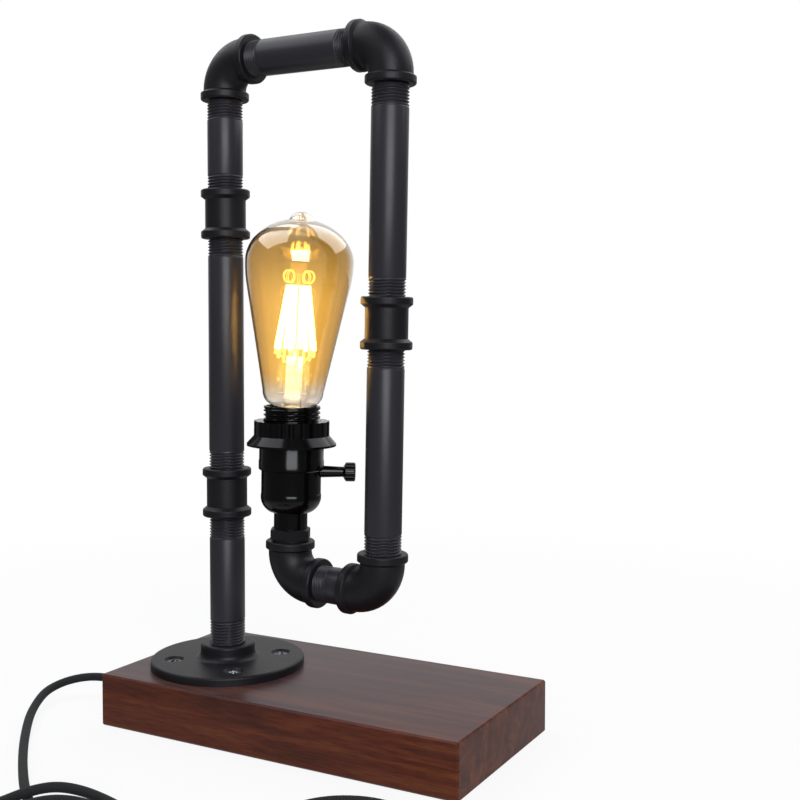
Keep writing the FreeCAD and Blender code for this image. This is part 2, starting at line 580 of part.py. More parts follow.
def filament_wires():
    """Curled springs that hold the filaments' tops to the centre rod, and their lower leads."""
    (end_r, end_z), (foot_r, foot_z) = FILAMENT_LOW, LEG_FOOT
    curl = Part.makeTorus(CURL_R, CURL_WIRE_R, V(CURL_OUT, 0, CURL_HEIGHT), Y)
    leg = Part.makeCylinder(LEG_R, LEG_LENGTH, V(foot_r, 0, foot_z), V(end_r - foot_r, 0, end_z - foot_z))
    return put(Part.makeCompound(around(curl, CURLS) + around(leg, CURLS, 180 / CURLS)), GLASS)


def led_filaments():
    """Glowing rods, leaning in to the top like the bars of a cage."""
    (low_r, low_z), (high_r, high_z) = FILAMENT_LOW, FILAMENT_HIGH
    foot, head = V(low_r, 0, low_z), V(high_r, 0, high_z)
    bar = Part.makeCylinder(FILAMENT_R, (head - foot).Length, foot, head - foot)
    return put(Part.makeCompound(around(bar, FILAMENTS, 180 / FILAMENTS)), GLASS)


# ---- the cord: straight runs joined by arcs that touch both
def route(points, name):
    """A wire through the points, with each corner rounded as far as its two runs allow."""
    spots = [V(*p) for p in points]
    edges, last, tightest = [], spots[0], math.inf
    for before, corner, after in zip(spots, spots[1:], spots[2:]):
        into, onward = corner - before, after - corner
        half = into.getAngle(onward) / 2
        reach = 0.45 * min(into.Length, onward.Length)
        radius = reach / math.tan(half)
        into.normalize()
        onward.normalize()
        start, end = corner - into * reach, corner + onward * reach
        inward = (onward - into).normalize()
        middle = corner + inward * (math.hypot(radius, reach) - radius)
        edges += [Part.makeLine(last, start), Part.Arc(start, middle, end).toShape()]
        last, tightest = end, min(tightest, radius)
    wire = Part.Wire(edges + [Part.makeLine(last, spots[-1])])
    print(f"{name}: {wire.Length:.0f} mm long, tightest radius {tightest:.1f} mm")
    return wire


def cord_tube(points, name):
    wire = route(points, name)
    ring = Part.Wire(Part.makeCircle(CORD_R, V(*points[0]), V(*points[1]) - V(*points[0])))
    solid = wire.makePipeShell([ring], True, False)
    section = math.pi * CORD_R**2
    print(f"{name}: volume is {solid.Volume / section / wire.Length:.4f} of section times length")
    return solid


def inner_cord():
    """The lead inside the lamp: through the pocket, up the riser, round the loop to the socket."""
    cut = CORNER_CUT
    corners = [(0, ARM_HEIGHT - cut), (cut, ARM_HEIGHT),
               (LOOP_WIDTH - cut, ARM_HEIGHT), (LOOP_WIDTH, ARM_HEIGHT - cut),
               (LOOP_WIDTH, LOW_HEIGHT + cut), (LOOP_WIDTH - cut, LOW_HEIGHT),
               (SOCKET_X + cut, LOW_HEIGHT), (SOCKET_X, LOW_HEIGHT + cut),
               (SOCKET_X, LOW_HEIGHT + CORE_BOTTOM - LEADS_DROP)]
    up = [tuple(LOOP.multVec(V(0, 0, POCKET_DEPTH + 6)))]
    up += [tuple(ARM.multVec(V(x, 0, z))) for x, z in corners]
    return cord_tube([LEAD[0]] + POCKET_RUN + up, "inner cord")


def wire_leads():
    """The cord's two cores, fanned out to the binding screws."""
    start, out, rise = CORE_WIRE_RUN
    run = V(out, 0, rise)
    core = Part.makeCylinder(CORE_WIRE_R, run.Length, V(start, 0, CORE_BOTTOM - LEADS_DROP), run)
    return put(Part.makeCompound(around(core, 2)), SOCKET)


def cord_clamp():
    """A clip that holds the cord up against the pocket's ceiling, with one screw."""
    start, end = CLAMP_X - CLAMP_WIDE / 2, CLAMP_X + CLAMP_WIDE / 2
    loop = Part.makeCylinder(CORD_R + CLAMP_WALL, CLAMP_WIDE, V(start, EXIT_Y, EXIT_Z), X)
    foot = box((start, end), (EXIT_Y, CLAMP_SCREW_Y + CLAMP_TOE), (CLAMP_SCREW_Z, POCKET_DEPTH))
    bore = Part.makeCylinder(CORD_R, CLAMP_WIDE + 2, V(start - 1, EXIT_Y, EXIT_Z), X)
    return loop.fuse(foot).cut([bore, clamp_screw()])


def clamp_screw():
    """A round-head screw, driven up into the block from inside the pocket."""
    (head_r, head), (shank_r, shank) = CLAMP_SCREW_HEAD, CLAMP_SCREW_SHANK
    profile = [(0, -head), (head_r - 0.6, -head), (head_r, 0), (shank_r, 0), (shank_r, shank - 1), (0, shank)]
    return put(turned(profile), Placement(V(CLAMP_X, CLAMP_SCREW_Y, CLAMP_SCREW_Z), Rotation()))


def strain_relief():
    """A soft sleeve in the block's end: a plug in the hole, a collar and a long taper."""
    wall = POCKET_X[0] + BASE_LENGTH / 2
    sleeve = turned([
        (CORD_R, -wall), (RELIEF_ROOT_R, -wall), (RELIEF_ROOT_R, 0), (RELIEF_COLLAR_R, 0),
        (RELIEF_COLLAR_R, 2.2), (RELIEF_ROOT_R, 3), (RELIEF_TIP_R, RELIEF_LENGTH), (CORD_R, RELIEF_LENGTH),
    ])
    return put(sleeve, Placement(V(-BASE_LENGTH / 2, EXIT_Y, EXIT_Z), Rotation(Y, -90)))


def on_coil(turn_deg, radius, height):
    angle = math.radians(turn_deg)
    return (COIL_X + radius * math.cos(angle), COIL_Y + radius * math.sin(angle), height)


def cord_lead():
    return cord_tube(LEAD + [on_coil(COIL_ENTRY, COIL_OUTER_R, CORD_R)], "lead")


def cord_coil():
    """The outer shape of the wound length: a ring with rounded edges."""
    half, high = CORD_R * COIL_WIDE, 2 * CORD_R * COIL_HIGH
    ring = tube(COIL_R + half, COIL_R - half, 0, high)
    rims = [e for e in ring.Edges if e.Curve.TypeId == "Part::GeomCircle"]
    ring = ring.makeFillet(CORD_R * COIL_ROUND, rims)
    return put(ring, Placement(V(COIL_X, COIL_Y, 0), Rotation()))


def cord_tail():
    return cord_tube([on_coil(COIL_LEAVE, COIL_OUTER_R, COIL_TOP)] + TAIL_MIDDLE + [PLUG_AT], "tail")


def plug_relief():
    """The ribless taper that is moulded round the cord where it enters the plug."""
    thin, thick = PLUG_RELIEF_R
    return put(turned([(0, 0), (thin, 0), (thick, PLUG_RELIEF), (0, PLUG_RELIEF)]), PLUG)


def rounded_outline(wide, high, at):
    """A rectangle with round corners across the plug, as a wire."""
    slab = box((-high / 2, high / 2), (-wide / 2, wide / 2), (at, at + 1))
    slab = slab.makeFillet(PLUG_CORNER, [e for e in slab.Edges if e.BoundBox.ZLength > 0.9])
    return [face for face in slab.Faces if abs(face.CenterOfMass.z - at) < 1e-6][0].OuterWire


def plug_body():
    """A flat two-blade plug that narrows towards the cord."""
    wires = [rounded_outline(*PLUG_NECK, PLUG_RELIEF)]
    wires += [rounded_outline(PLUG_WIDE, PLUG_HIGH, PLUG_RELIEF + at) for at in (PLUG_SHOULDER, PLUG_LENGTH)]
    return put(Part.makeLoft(wires, True, True), PLUG)


def plug_blades():
    """Two flat blades with rounded tips and a hole in each."""
    low, tip = PLUG_RELIEF + PLUG_LENGTH, PLUG_RELIEF + PLUG_LENGTH + BLADE_LENGTH
    blades = []
    for y in (-BLADE_APART / 2, BLADE_APART / 2):
        blade = box((-BLADE_WIDE / 2, BLADE_WIDE / 2), (y - BLADE_THICK / 2, y + BLADE_THICK / 2), (low, tip))
        corners = [e for e in blade.Edges if e.BoundBox.YLength > 1 and e.CenterOfMass.z > tip - 0.1]
        blade = blade.makeFillet(BLADE_TIP_R, corners)
        blades.append(blade.cut(Part.makeCylinder(BLADE_HOLE_R, 4, V(0, y - 2, tip - BLADE_HOLE_BACK), Y)))
    return put(Part.makeCompound(blades), PLUG)


# ---- every node, with where each pipe starts and ends
NODES = {
    "wood_base": wood_base,
    "base_cover": base_cover,
    "cover_screws": cover_screws,
    "floor_flange": floor_flange,
    "flange_screws": flange_screws,
    "lower_riser": lambda: riser(BASE_HEIGHT + 1.5, LOWER_COUPLING_Z - GRIP),
    "lower_coupling": lambda: put(coupling(LOWER_COUPLING_Z), LOOP),
    "middle_riser": lambda: riser(LOWER_COUPLING_Z + GRIP, UPPER_COUPLING_Z - GRIP),
    "upper_coupling": lambda: put(coupling(UPPER_COUPLING_Z), LOOP),
    "upper_riser": lambda: riser(UPPER_COUPLING_Z + GRIP, ARM_HEIGHT - BITE),
    "riser_elbow": riser_elbow,
    "top_nipple": lambda: level_pipe(BITE, LOOP_WIDTH - BITE, ARM_HEIGHT),
    "drop_elbow": drop_elbow,
    "upper_drop_pipe": lambda: drop_pipe(DROP_COUPLING_Z + GRIP, ARM_HEIGHT - BITE),
    "drop_coupling": lambda: put(coupling(DROP_COUPLING_Z), DROP),
    "lower_drop_pipe": lambda: drop_pipe(LOW_HEIGHT + BITE, DROP_COUPLING_Z - GRIP),
    "return_elbow": return_elbow,
    "return_nipple": lambda: level_pipe(SOCKET_X + BITE, LOOP_WIDTH - BITE, LOW_HEIGHT),
    "socket_elbow": socket_elbow,
    "hex_bushing": hex_bushing,
    "lamp_nipple": lamp_nipple,
    "socket_cap": socket_cap,
    "socket_set_screw": socket_set_screw,
    "socket_body": socket_body,
    "socket_core": socket_core,
    "terminal_screws": terminal_screws,
    "screw_shell": screw_shell,
    "centre_contact": centre_contact,
    "shade_ring": shade_ring,
    "switch_knob": switch_knob,
    "switch_spindle": switch_spindle,
    "switch_rotor": switch_rotor,
    "bulb_glass": bulb_glass,
    "bulb_cap": bulb_cap,
    "cap_insulator": cap_insulator,
    "cap_contact": cap_contact,
    "glass_stem": glass_stem,
    "filament_wires": filament_wires,
    "led_filaments": led_filaments,
    "inner_cord": inner_cord,
    "wire_leads": wire_leads,
    "cord_clamp": cord_clamp,
    "clamp_screw": clamp_screw,
    "strain_relief": strain_relief,
    "cord_lead": cord_lead,
    "cord_coil": cord_coil,
    "cord_tail": cord_tail,
    "plug_relief": plug_relief,
    "plug_body": plug_body,
    "plug_blades": plug_blades,
}

os.makedirs("parts", exist_ok=True)
for node, make in NODES.items():
    make().exportStep(f"parts/{node}.step")
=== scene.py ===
# %% [markdown]
# # A pipe table lamp
# A loop of black half-inch pipe stands on a stained block. It comes back down and turns up again
# into a lamp socket with a turn-knob switch and a teardrop filament bulb. The rigid pieces come
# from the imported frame. This file dresses them: it winds the threads, coats the metal, stains the
# wood, blows the glass and lays the cord.

# %% Load the frame
import math

import bmesh
import bpy
import numpy as np
from mathutils import Matrix, Vector


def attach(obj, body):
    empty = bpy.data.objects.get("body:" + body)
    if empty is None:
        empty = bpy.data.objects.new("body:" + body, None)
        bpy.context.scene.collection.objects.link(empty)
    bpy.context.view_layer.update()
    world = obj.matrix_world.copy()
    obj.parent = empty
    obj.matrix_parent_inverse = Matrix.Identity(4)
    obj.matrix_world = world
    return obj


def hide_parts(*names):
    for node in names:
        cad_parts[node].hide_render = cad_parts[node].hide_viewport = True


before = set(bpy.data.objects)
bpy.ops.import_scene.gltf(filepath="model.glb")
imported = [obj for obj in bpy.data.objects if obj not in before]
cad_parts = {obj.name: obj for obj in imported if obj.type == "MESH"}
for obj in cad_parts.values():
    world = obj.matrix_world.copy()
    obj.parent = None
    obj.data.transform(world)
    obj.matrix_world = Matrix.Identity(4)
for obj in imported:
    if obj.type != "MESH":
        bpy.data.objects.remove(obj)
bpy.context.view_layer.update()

MM = 0.001

# %% [markdown]
# ## The camera
# The picture is taken from in front and a little to the right, at about the height of the bulb,
# and nearly level. A matrix holds the camera's three axes as columns, so the direction is set from
# two angles and a small roll. It looks down by less than three degrees, so verticals stay nearly
# upright. The small shift says that the lens's centre isn't quite the picture's middle.

# %% Camera
PICTURE = 800  # the picture's side
FOCAL, CENTRE = 1148.05, (408.6, 376.6)  # in picture units
EYE = (366.6, -568.6, 240.1)  # mm, with the block's middle at the origin
YAW, PITCH, ROLL = -0.4968, -0.0448, 0.0016  # radians

camera_data = bpy.data.cameras.new("camera")
camera_data.sensor_width = 36.0
camera_data.lens = FOCAL / PICTURE * camera_data.sensor_width
camera_data.shift_x = (PICTURE / 2 - CENTRE[0]) / PICTURE
camera_data.shift_y = (CENTRE[1] - PICTURE / 2) / PICTURE
camera_data.clip_end = 20.0
camera = bpy.data.objects.new("camera", camera_data)
bpy.context.scene.collection.objects.link(camera)

ahead = Vector((math.sin(YAW) * math.cos(PITCH), math.cos(YAW) * math.cos(PITCH), math.sin(PITCH)))
level = Vector((math.cos(YAW), -math.sin(YAW), 0))
overhead = level.cross(ahead)
right = level * math.cos(ROLL) + overhead * math.sin(ROLL)
up = overhead * math.cos(ROLL) - level * math.sin(ROLL)
axes = Matrix((right, up, -ahead)).transposed()
camera.matrix_world = Matrix.Translation(Vector(EYE) * MM) @ axes.to_4x4()
bpy.context.scene.camera = camera
bpy.context.scene.view_settings.view_transform = "Standard"
print("camera lens:", round(camera_data.lens, 1), "mm")

# %% [markdown]
# ## Where things stand
# The block lies along X. The loop of pipe stands on its left and is turned a little on its flange.
# Past the first elbow everything leans a degree. Each of these is a 4 x 4 matrix, and a piece that
# is drawn upright at the origin is carried into place by one product.

# %% Places
def at(x=0.0, y=0.0, z=0.0):
    return Matrix.Translation((x, y, z))


def turn(degrees, axis):
    return Matrix.Rotation(math.radians(degrees), 4, axis)


ARM_HEIGHT, LOW_HEIGHT = 398.4, 90.5  # the top run's axis, and the low run's
LOOP_WIDTH, SOCKET_X = 118.4, 53.7  # from the post's axis
LOOP = at(-65.7, -5) @ turn(-2.4, "Z")
ARM = LOOP @ at(z=ARM_HEIGHT) @ turn(1.1, "Y") @ at(z=-ARM_HEIGHT)
SOCKET = ARM @ at(SOCKET_X, 0, LOW_HEIGHT)
BULB = SOCKET @ at(z=99)
GLASS = BULB @ turn(2.7, "Y")
print("socket stands at", [round(v, 1) for v in SOCKET.translation])

# %% [markdown]
# ## Meshes from grids
# Most pieces are a grid of points: rows run along a piece, columns run round it. The whole grid is
# worked out at once with numpy. `skin` turns it into a mesh, joins the last column to the first,
# and merges rows that shrink to one point, so the ends are closed.

# %% Grid helpers
def placed(grid, spot):
    """Every point of a grid, carried by a 4 x 4 matrix: its rotation first, then its shift."""
    spot = np.array(spot)
    return grid @ spot[:3, :3].T + spot[:3, 3]


def skin(name, grids, body, material, place=Matrix(), smooth=45, replaces=()):
    """One object from several closed grids. A quad joins each point to the next row and column."""
    points, faces, first = [], [], 0
    for grid in grids:
        rows, columns = grid.shape[:2]
        index = np.arange(rows * columns).reshape(rows, columns) + first
        index = np.concatenate([index, index[:, :1]], axis=1)
        quads = np.stack([index[:-1, :-1], index[:-1, 1:], index[1:, 1:], index[1:, :-1]], axis=-1)
        faces.append(quads.reshape(-1, 4))
        points.append(grid.reshape(-1, 3))
        first += rows * columns
    points = placed(np.concatenate(points), place) * MM
    mesh = bpy.data.meshes.new(name)
    mesh.from_pydata(points.tolist(), [], np.concatenate(faces).tolist())
    mesh.validate()
    piece = bpy.data.objects.new(name, mesh)
    bpy.context.scene.collection.objects.link(piece)
    merge_points(mesh)
    mesh.shade_smooth()
    mesh.set_sharp_from_angle(angle=math.radians(smooth))
    mesh.materials.append(material)
    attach(piece, body)
    for node in replaces:
        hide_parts(node)
    print(name, len(mesh.polygons), "faces")
    return piece


def merge_points(mesh):
    shape = bmesh.new()
    shape.from_mesh(mesh)
    bmesh.ops.remove_doubles(shape, verts=shape.verts, dist=1e-7)
    shape.to_mesh(mesh)
    shape.free()


def revolved(profile, segments=64):
    """Points (r cos a, r sin a, z) for each (r, z) of the profile and each angle a."""
    profile = np.array(profile, dtype=float)
    angle = np.linspace(0, 2 * np.pi, segments, endpoint=False)
    r, z = profile[:, :1], profile[:, 1:]
    return np.stack([r * np.cos(angle), r * np.sin(angle), z + 0 * angle], axis=-1)


print("a short tube is a grid of", revolved([(1, 0), (1, 5)]).shape, "numbers")

# %% [markdown]
# ## Materials
# Colours are written as the hex values that a paint shop would use, and one function turns them
# into the linear numbers that the renderer mixes. One more function adds a node with its settings
# and its links. Patterns read Object coordinates, which are metres here, so a scale is one over
# the real size of the pattern.

# %% Material helpers
def colour(text):
    """sRGB hex to linear: each channel is undone from the screen's curve."""
    channels = [int(text[i:i + 2], 16) / 255 for i in (0, 2, 4)]
    return [c / 12.92 if c <= 0.04045 else ((c + 0.055) / 1.055) ** 2.4 for c in channels] + [1.0]


def add(material, kind, inputs, **settings):
    """One node: settings are its own properties, inputs are values or other nodes' outputs."""
    node = material.node_tree.nodes.new(kind)
    for key, value in settings.items():
        setattr(node, key, value)
    for key, value in inputs.items():
        if isinstance(value, bpy.types.NodeSocket):
            material.node_tree.links.new(value, node.inputs[key])
        else:
            node.inputs[key].default_value = value
    return node


def finish(name, base, **sockets):
    """A material with one Principled shader. Sockets are named with underscores for spaces."""
    material = bpy.data.materials.new(name)
    material.use_nodes = True
    shader = material.node_tree.nodes["Principled BSDF"]
    shader.inputs["Base Color"].default_value = colour(base)
    for key, value in sockets.items():
        shader.inputs[key.replace("_", " ")].default_value = value
    return material, shader


def per(size):
    """A texture scale, from the size of one feature in millimetres."""
    return 1 / (size * MM)


def metal(name, base, roughness, cloud_size):
    material, shader = finish(name, base, Metallic=1.0)
    where = add(material, "ShaderNodeTexCoord", {})
    cloud = add(
        material, "ShaderNodeTexNoise",
        {"Vector": where.outputs["Object"], "Scale": per(cloud_size), "Detail": 3.0},
    )
    rough = add(
        material, "ShaderNodeMapRange", {0: cloud.outputs[0], 3: roughness * 0.75, 4: roughness * 1.3}
    )
    material.node_tree.links.new(rough.outputs[0], shader.inputs["Roughness"])
    return material


def moulded(name, base, roughness, grain_size, depth):
    """Plastic or rubber: one colour, with the mould's grain as a bump."""
    material, shader = finish(name, base, Roughness=roughness)
    where = add(material, "ShaderNodeTexCoord", {})
    grain = add(
        material, "ShaderNodeTexNoise",
        {"Vector": where.outputs["Object"], "Scale": per(grain_size), "Detail": 2.0},
    )
    bump = add(
        material, "ShaderNodeBump", {"Height": grain.outputs[0], "Strength": 0.3, "Distance": depth * MM}
    )
    material.node_tree.links.new(bump.outputs[0], shader.inputs["Normal"])
    return material


def coat_node(node, material):
    """Gives a CAD node its material."""
    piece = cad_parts[node]
    piece.data.materials.clear()
    piece.data.materials.append(material)
    print(node, "is coated with", material.name)


print("a pattern of 1 mm has the scale", per(1))

# %% [markdown]
# ## The cord
# A textile-covered mains lead, 5.2 mm thick. It leaves the block's left end through a soft sleeve,
# drops to the table and comes round in two loose loops. The rest is wound into a neat coil that
# lies beside them. It is one smooth NURBS line: the points are where a hand would lay the cord, and
# the curve is pulled towards them without touching each one. The coil's turns are worked out as one
# array: the angle grows evenly, and the radius steps in and out between the layers.

# %% Cord route
CORD_R = 2.6
LEAD = [
    (-119, -18, 13), (-131, -18, 12.98), (-143, -18.05, 12.85), (-154, -18.3, 12.6), (-164, -19.8, 12.1),
    (-172, -25, 11.2), (-177, -34, 9.9), (-177.6, -46, 8.1), (-171.5, -59, 6.5), (-161.5, -74.5, 4.8),
    (-147, -91.5, 3.4), (-127, -112.5, 2.7), (-104, -134.5, 2.6), (-80, -155.5, 2.6), (-57, -172, 2.6),
    (-37, -187, 2.6), (-22, -202, 2.6), (-17.5, -219, 2.6), (-25, -235, 2.6), (-40, -243.5, 2.6),
    (-57, -240, 2.6), (-67.5, -227, 2.6), (-68.5, -210.5, 2.8), (-63.5, -195.5, 4.2), (-57.5, -181, 7.8),
    (-51, -168, 8.2), (-42.5, -159, 6.0), (-31, -155.5, 3.8), (-19.5, -158.5, 2.7), (-11.5, -167.5, 2.6),
    (-8.2, -179.5, 3.0), (-10.5, -192, 5.2), (-18, -202.5, 7.8), (-29, -210, 8.2), (-42, -213.5, 8.2),
    (-54.5, -211.5, 9.1), (-64, -203, 9.9), (-69, -191, 8.6), (-70, -178, 7.4), (-67.3, -165, 8.0),
    (-60.5, -153.7, 8.0), (-49, -147.2, 5.8), (-33, -145.6, 3.0), (-17, -150, 2.6), (-5.5, -161, 2.6),
    (-1, -175, 2.6),
]
TAIL = [
    (62.7, -184, 7.8), (63.4, -171, 7.2), (60.5, -156.5, 5.6), (55, -141.5, 4.0), (50.8, -125.5, 2.9),
    (52.5, -106.5, 2.6), (64.5, -89.5, 2.6), (86, -81.5, 2.6), (110, -87.5, 2.6), (126, -106, 2.6),
    (131, -131, 4.0), (127.5, -155, 7.5),
]
COIL_X, COIL_Y, COIL_R = 31.0, -184.0, 26.5
COIL_TURNS, COIL_ENTRY = 5.47, 190.0


def coil_points():
    """Turns side by side: outer, middle, inner, then up and back out, with a short shift each."""
    wide, high = 2 * CORD_R, 3 * CORD_R
    held = [0, 0.75, 1, 1.75, 2, 2.75, 3, 3.75, 4, 4.75, 5, COIL_TURNS]
    radius = [wide, wide, 0, 0, -wide, -wide, -wide, -wide, 0, 0, wide, wide]
    height = [CORD_R] * 6 + [high] * 6
    count = np.arange(0, COIL_TURNS + 0.01, 1 / 14)
    angle = np.radians(COIL_ENTRY) + 2 * np.pi * count
    r = COIL_R + np.interp(count, held, radius)
    x, y = COIL_X + r * np.cos(angle), COIL_Y + r * np.sin(angle)
    return np.stack([x, y, np.interp(count, held, height)], axis=1)


def cord_curve(points):
    """The bevel is a circle of one metre, and each point's radius scales it to the cord's."""
    data = bpy.data.curves.new("cord", "CURVE")
    data.dimensions = "3D"
    data.bevel_depth = 1.0
    data.bevel_resolution = 4
    data.resolution_u = 6
    data.use_fill_caps = True
    spline = data.splines.new("NURBS")
    spline.points.add(len(points) - 1)
    spline.points.foreach_set("co", np.c_[points * MM, np.ones(len(points))].ravel())
    spline.points.foreach_set("radius", np.full(len(points), CORD_R * MM))
    spline.order_u = 3
    spline.use_endpoint_u = True
    piece = bpy.data.objects.new("cord", data)
    bpy.context.scene.collection.objects.link(piece)
    return piece


cord = cord_curve(np.concatenate([LEAD, coil_points(), TAIL]))
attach(cord, "lamp")
for node in ("cord_lead", "cord_coil", "cord_tail"):
    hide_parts(node)
print("cord:", len(cord.data.splines[0].points), "points")

# %% [markdown]
# A soft ribbed sleeve keeps the cord from kinking where it leaves the block, and a second one where
# it enters the plug. Both are soft PVC, which is dull. Two straps hold the coil together. They are
# woven, so they are duller still. A strap follows a rounded box round the coil's section, as it
# does when it is pulled tight, and its free end lies on top as a second layer.

# %% Sleeves and straps
RUBBER = moulded("soft_pvc", "1d1d1e", 0.6, 0.5, 0.08)
STRAP = moulded("woven_nylon_strap", "161617", 0.85, 0.4, 0.15)
BLOCK_END = at(-119, -18, 13) @ turn(-90, "Y")
PLUG = at(127.5, -155, 7.5) @ turn(-97, "Z") @ turn(90, "Y")


def ribbed(low, high, near, far, ribs):
    """r = a straight taper - 0.5 mm * groove, and the groove is a cosine along the sleeve."""
    share = np.linspace(0, 1, 8 * ribs + 1)
    groove = 0.5 - 0.5 * np.cos(2 * np.pi * ribs * share)
    return np.c_[near + (far - near) * share - 0.5 * groove, low + (high - low) * share].tolist()


def strap(coil_angle, flat=8.2, tall=5.2, power=4.0, thick=0.35, wide=2.5):
    """|x / flat|^power + |z / tall|^power = 1, thickened both ways and carried to the coil."""
    t = np.linspace(0, 2 * np.pi, 96, endpoint=False)
    c, s = np.cos(t), np.sin(t)
    reach = (abs(c) ** power + abs(s) ** power) ** (-1 / power)
    lapped = 0.6 * np.clip((t - 0.7) / 0.04, 0, 1) * np.clip((2.0 - t) / 0.04, 0, 1)
    outer, middle = thick + lapped, 5.6
    corners = ((outer, -wide), (outer, wide), (-thick, wide), (-thick, -wide), (outer, -wide))
    rows = []
    for out, side in corners:
        x, z = COIL_R + (flat + out) * reach * c, middle + (tall + out) * reach * s
        rows.append(np.stack([x, side + 0 * c, z], axis=-1))
    return placed(np.stack(rows), at(COIL_X, COIL_Y) @ turn(coil_angle, "Z"))


collar = [(CORD_R, -15), (4.6, -15), (4.6, 0), (6.1, 0), (6.5, 0.4), (6.5, 1.8), (6.1, 2.2), (4.8, 2.4)]
end_profile = collar + ribbed(3, 24, 4.6, 3.3, 6) + [(CORD_R, 24), (CORD_R, -15)]
plug_profile = [(0, 0)] + ribbed(0, 22, 3.2, 5.2, 6) + [(0, 22)]
skin(
    "ribbed_sleeve", [revolved(end_profile, 48)],
    "lamp", RUBBER, BLOCK_END, 50, ["strain_relief"],
)
plug_sleeve = skin(
    "ribbed_plug_sleeve", [revolved(plug_profile, 48)],
    "lamp", RUBBER, PLUG, 50, ["plug_relief"],
)
straps = skin("coil_straps", [strap(222), strap(325)], "lamp", STRAP, smooth=30)

# %% [markdown]
# ## The table
# A white table, as in a catalogue. It is one plane, and the camera sees it as plain white. Near the
# lamp a little real matt white is mixed in, which keeps the soft shadow under the block. Glossy
# paint mirrors a dimmer table, which fades with distance as if black cards lay round the picture:
# that is how a studio keeps black paint deep. The matt light that the table throws back is weaker
# too. Glass is left out of this, so that it shows the table as the camera does.

# %% Table
NEAR, FAR = 0.25, 0.8  # metres from the lamp: the shadow ends between them
CARDS_FROM, CARDS_TO = 0.12, 0.6


def stage_white(name, glow):
    material = bpy.data.materials.new(name)
    material.use_nodes = True
    material.node_tree.nodes.clear()
    path = add(material, "ShaderNodeLightPath", {})
    glossy, through = path.outputs["Is Glossy Ray"], path.outputs["Is Transmission Ray"]
    where = add(material, "ShaderNodeTexCoord", {})
    away = add(material, "ShaderNodeVectorMath", {0: where.outputs["Object"]}, operation="LENGTH")
    away = away.outputs["Value"]
    bare = add(
        material, "ShaderNodeMapRange", {0: away, 1: NEAR, 2: FAR, 3: glow, 4: 1.0},
        interpolation_type="SMOOTHSTEP",
    )
    seen = add(
        material, "ShaderNodeMath", {0: path.outputs["Is Camera Ray"], 1: glossy}, operation="MAXIMUM"
    )
    seen = add(material, "ShaderNodeMath", {0: seen.outputs[0], 1: through}, operation="MAXIMUM")
    share = add(material, "ShaderNodeMath", {0: seen.outputs[0], 1: bare.outputs[0]}, operation="MULTIPLY")
    dim = add(
        material, "ShaderNodeMapRange", {0: away, 1: CARDS_FROM, 2: CARDS_TO, 3: 0.45, 4: 0.85},
        interpolation_type="SMOOTHSTEP",
    )
    mirrored = add(
        material, "ShaderNodeMath", {0: glossy, 1: through}, operation="SUBTRACT", use_clamp=True
    )
    lost = add(
        material, "ShaderNodeMath", {0: dim.outputs[0], 1: mirrored.outputs[0]}, operation="MULTIPLY"
    )
    level = add(material, "ShaderNodeMath", {0: 1.0, 1: lost.outputs[0]}, operation="SUBTRACT")
    bounce = add(
        material, "ShaderNodeMix",
        {0: path.outputs["Is Diffuse Ray"], 6: colour("f4f4f4"), 7: colour("8c8c8c")}, data_type="RGBA",
    )
    matt = add(material, "ShaderNodeBsdfDiffuse", {"Color": bounce.outputs[2]})
    lit = add(material, "ShaderNodeEmission", {"Color": (1, 1, 1, 1), "Strength": level.outputs[0]})
    mix = add(
        material, "ShaderNodeMixShader", {0: share.outputs[0], 1: matt.outputs[0], 2: lit.outputs[0]}
    )
    add(material, "ShaderNodeOutputMaterial", {"Surface": mix.outputs[0]})
    return material


bpy.ops.mesh.primitive_plane_add(size=6, location=(0, 0, -0.0002))
floor = bpy.context.object
floor.name = "floor"
floor.data.materials.append(stage_white("white_table", 0.88))
print("the table is", round(floor.dimensions.x), "m wide")

# %% [markdown]
# The world is the rest of the studio: white paper behind the lamp and a dim room round it. Black
# paint stays black that way and still gets a pale edge, where it mirrors the paper at a slant. The
# dot product of a ray's direction and the way to the paper says how nearly the ray meets it.

# %% Studio
PAPER = (-0.477, 0.879, 0)  # the way from the lamp to the paper
world = bpy.data.worlds.new("studio")
world.use_nodes = True
bpy.context.scene.world = world
world.node_tree.nodes.clear()
path = add(world, "ShaderNodeLightPath", {})
seen = add(
    world, "ShaderNodeMath",
    {0: path.outputs["Is Camera Ray"], 1: path.outputs["Is Transmission Ray"]}, operation="MAXIMUM",
)
where = add(world, "ShaderNodeTexCoord", {})
towards = add(
    world, "ShaderNodeVectorMath", {0: where.outputs["Generated"], 1: PAPER}, operation="DOT_PRODUCT"
)
room = add(
    world, "ShaderNodeMapRange", {0: towards.outputs["Value"], 1: 0.42, 2: 0.88, 3: 0.15, 4: 0.78},
    interpolation_type="SMOOTHSTEP",
)
level = add(world, "ShaderNodeMath", {0: seen.outputs[0], 1: room.outputs[0]}, operation="MAXIMUM")
paper = add(world, "ShaderNodeBackground", {"Color": (1, 1, 1, 1), "Strength": level.outputs[0]})
add(world, "ShaderNodeOutputWorld", {"Surface": paper.outputs[0]})
print("the paper is behind the lamp, towards", PAPER)

# %% [markdown]
# Two soft boxes hang left and right over the lamp and make the two bright patches on the bulb's
# shoulders. A third light stands in front and fills the shadows. All three are a little blue.

# %% Soft boxes
AIM = (-0.01, -0.007, 0.277)  # the bulb


def softbox(name, place, size, power):
    data = bpy.data.lights.new(name, "AREA")
    data.shape = "RECTANGLE"
    data.size, data.size_y = size
    data.energy = power
    data.color = (0.93, 0.95, 1.0)
    lamp = bpy.data.objects.new(name, data)
    bpy.context.scene.collection.objects.link(lamp)
    lamp.location = place
    lamp.rotation_euler = (Vector(AIM) - Vector(place)).to_track_quat("-Z", "Y").to_euler()
    return lamp


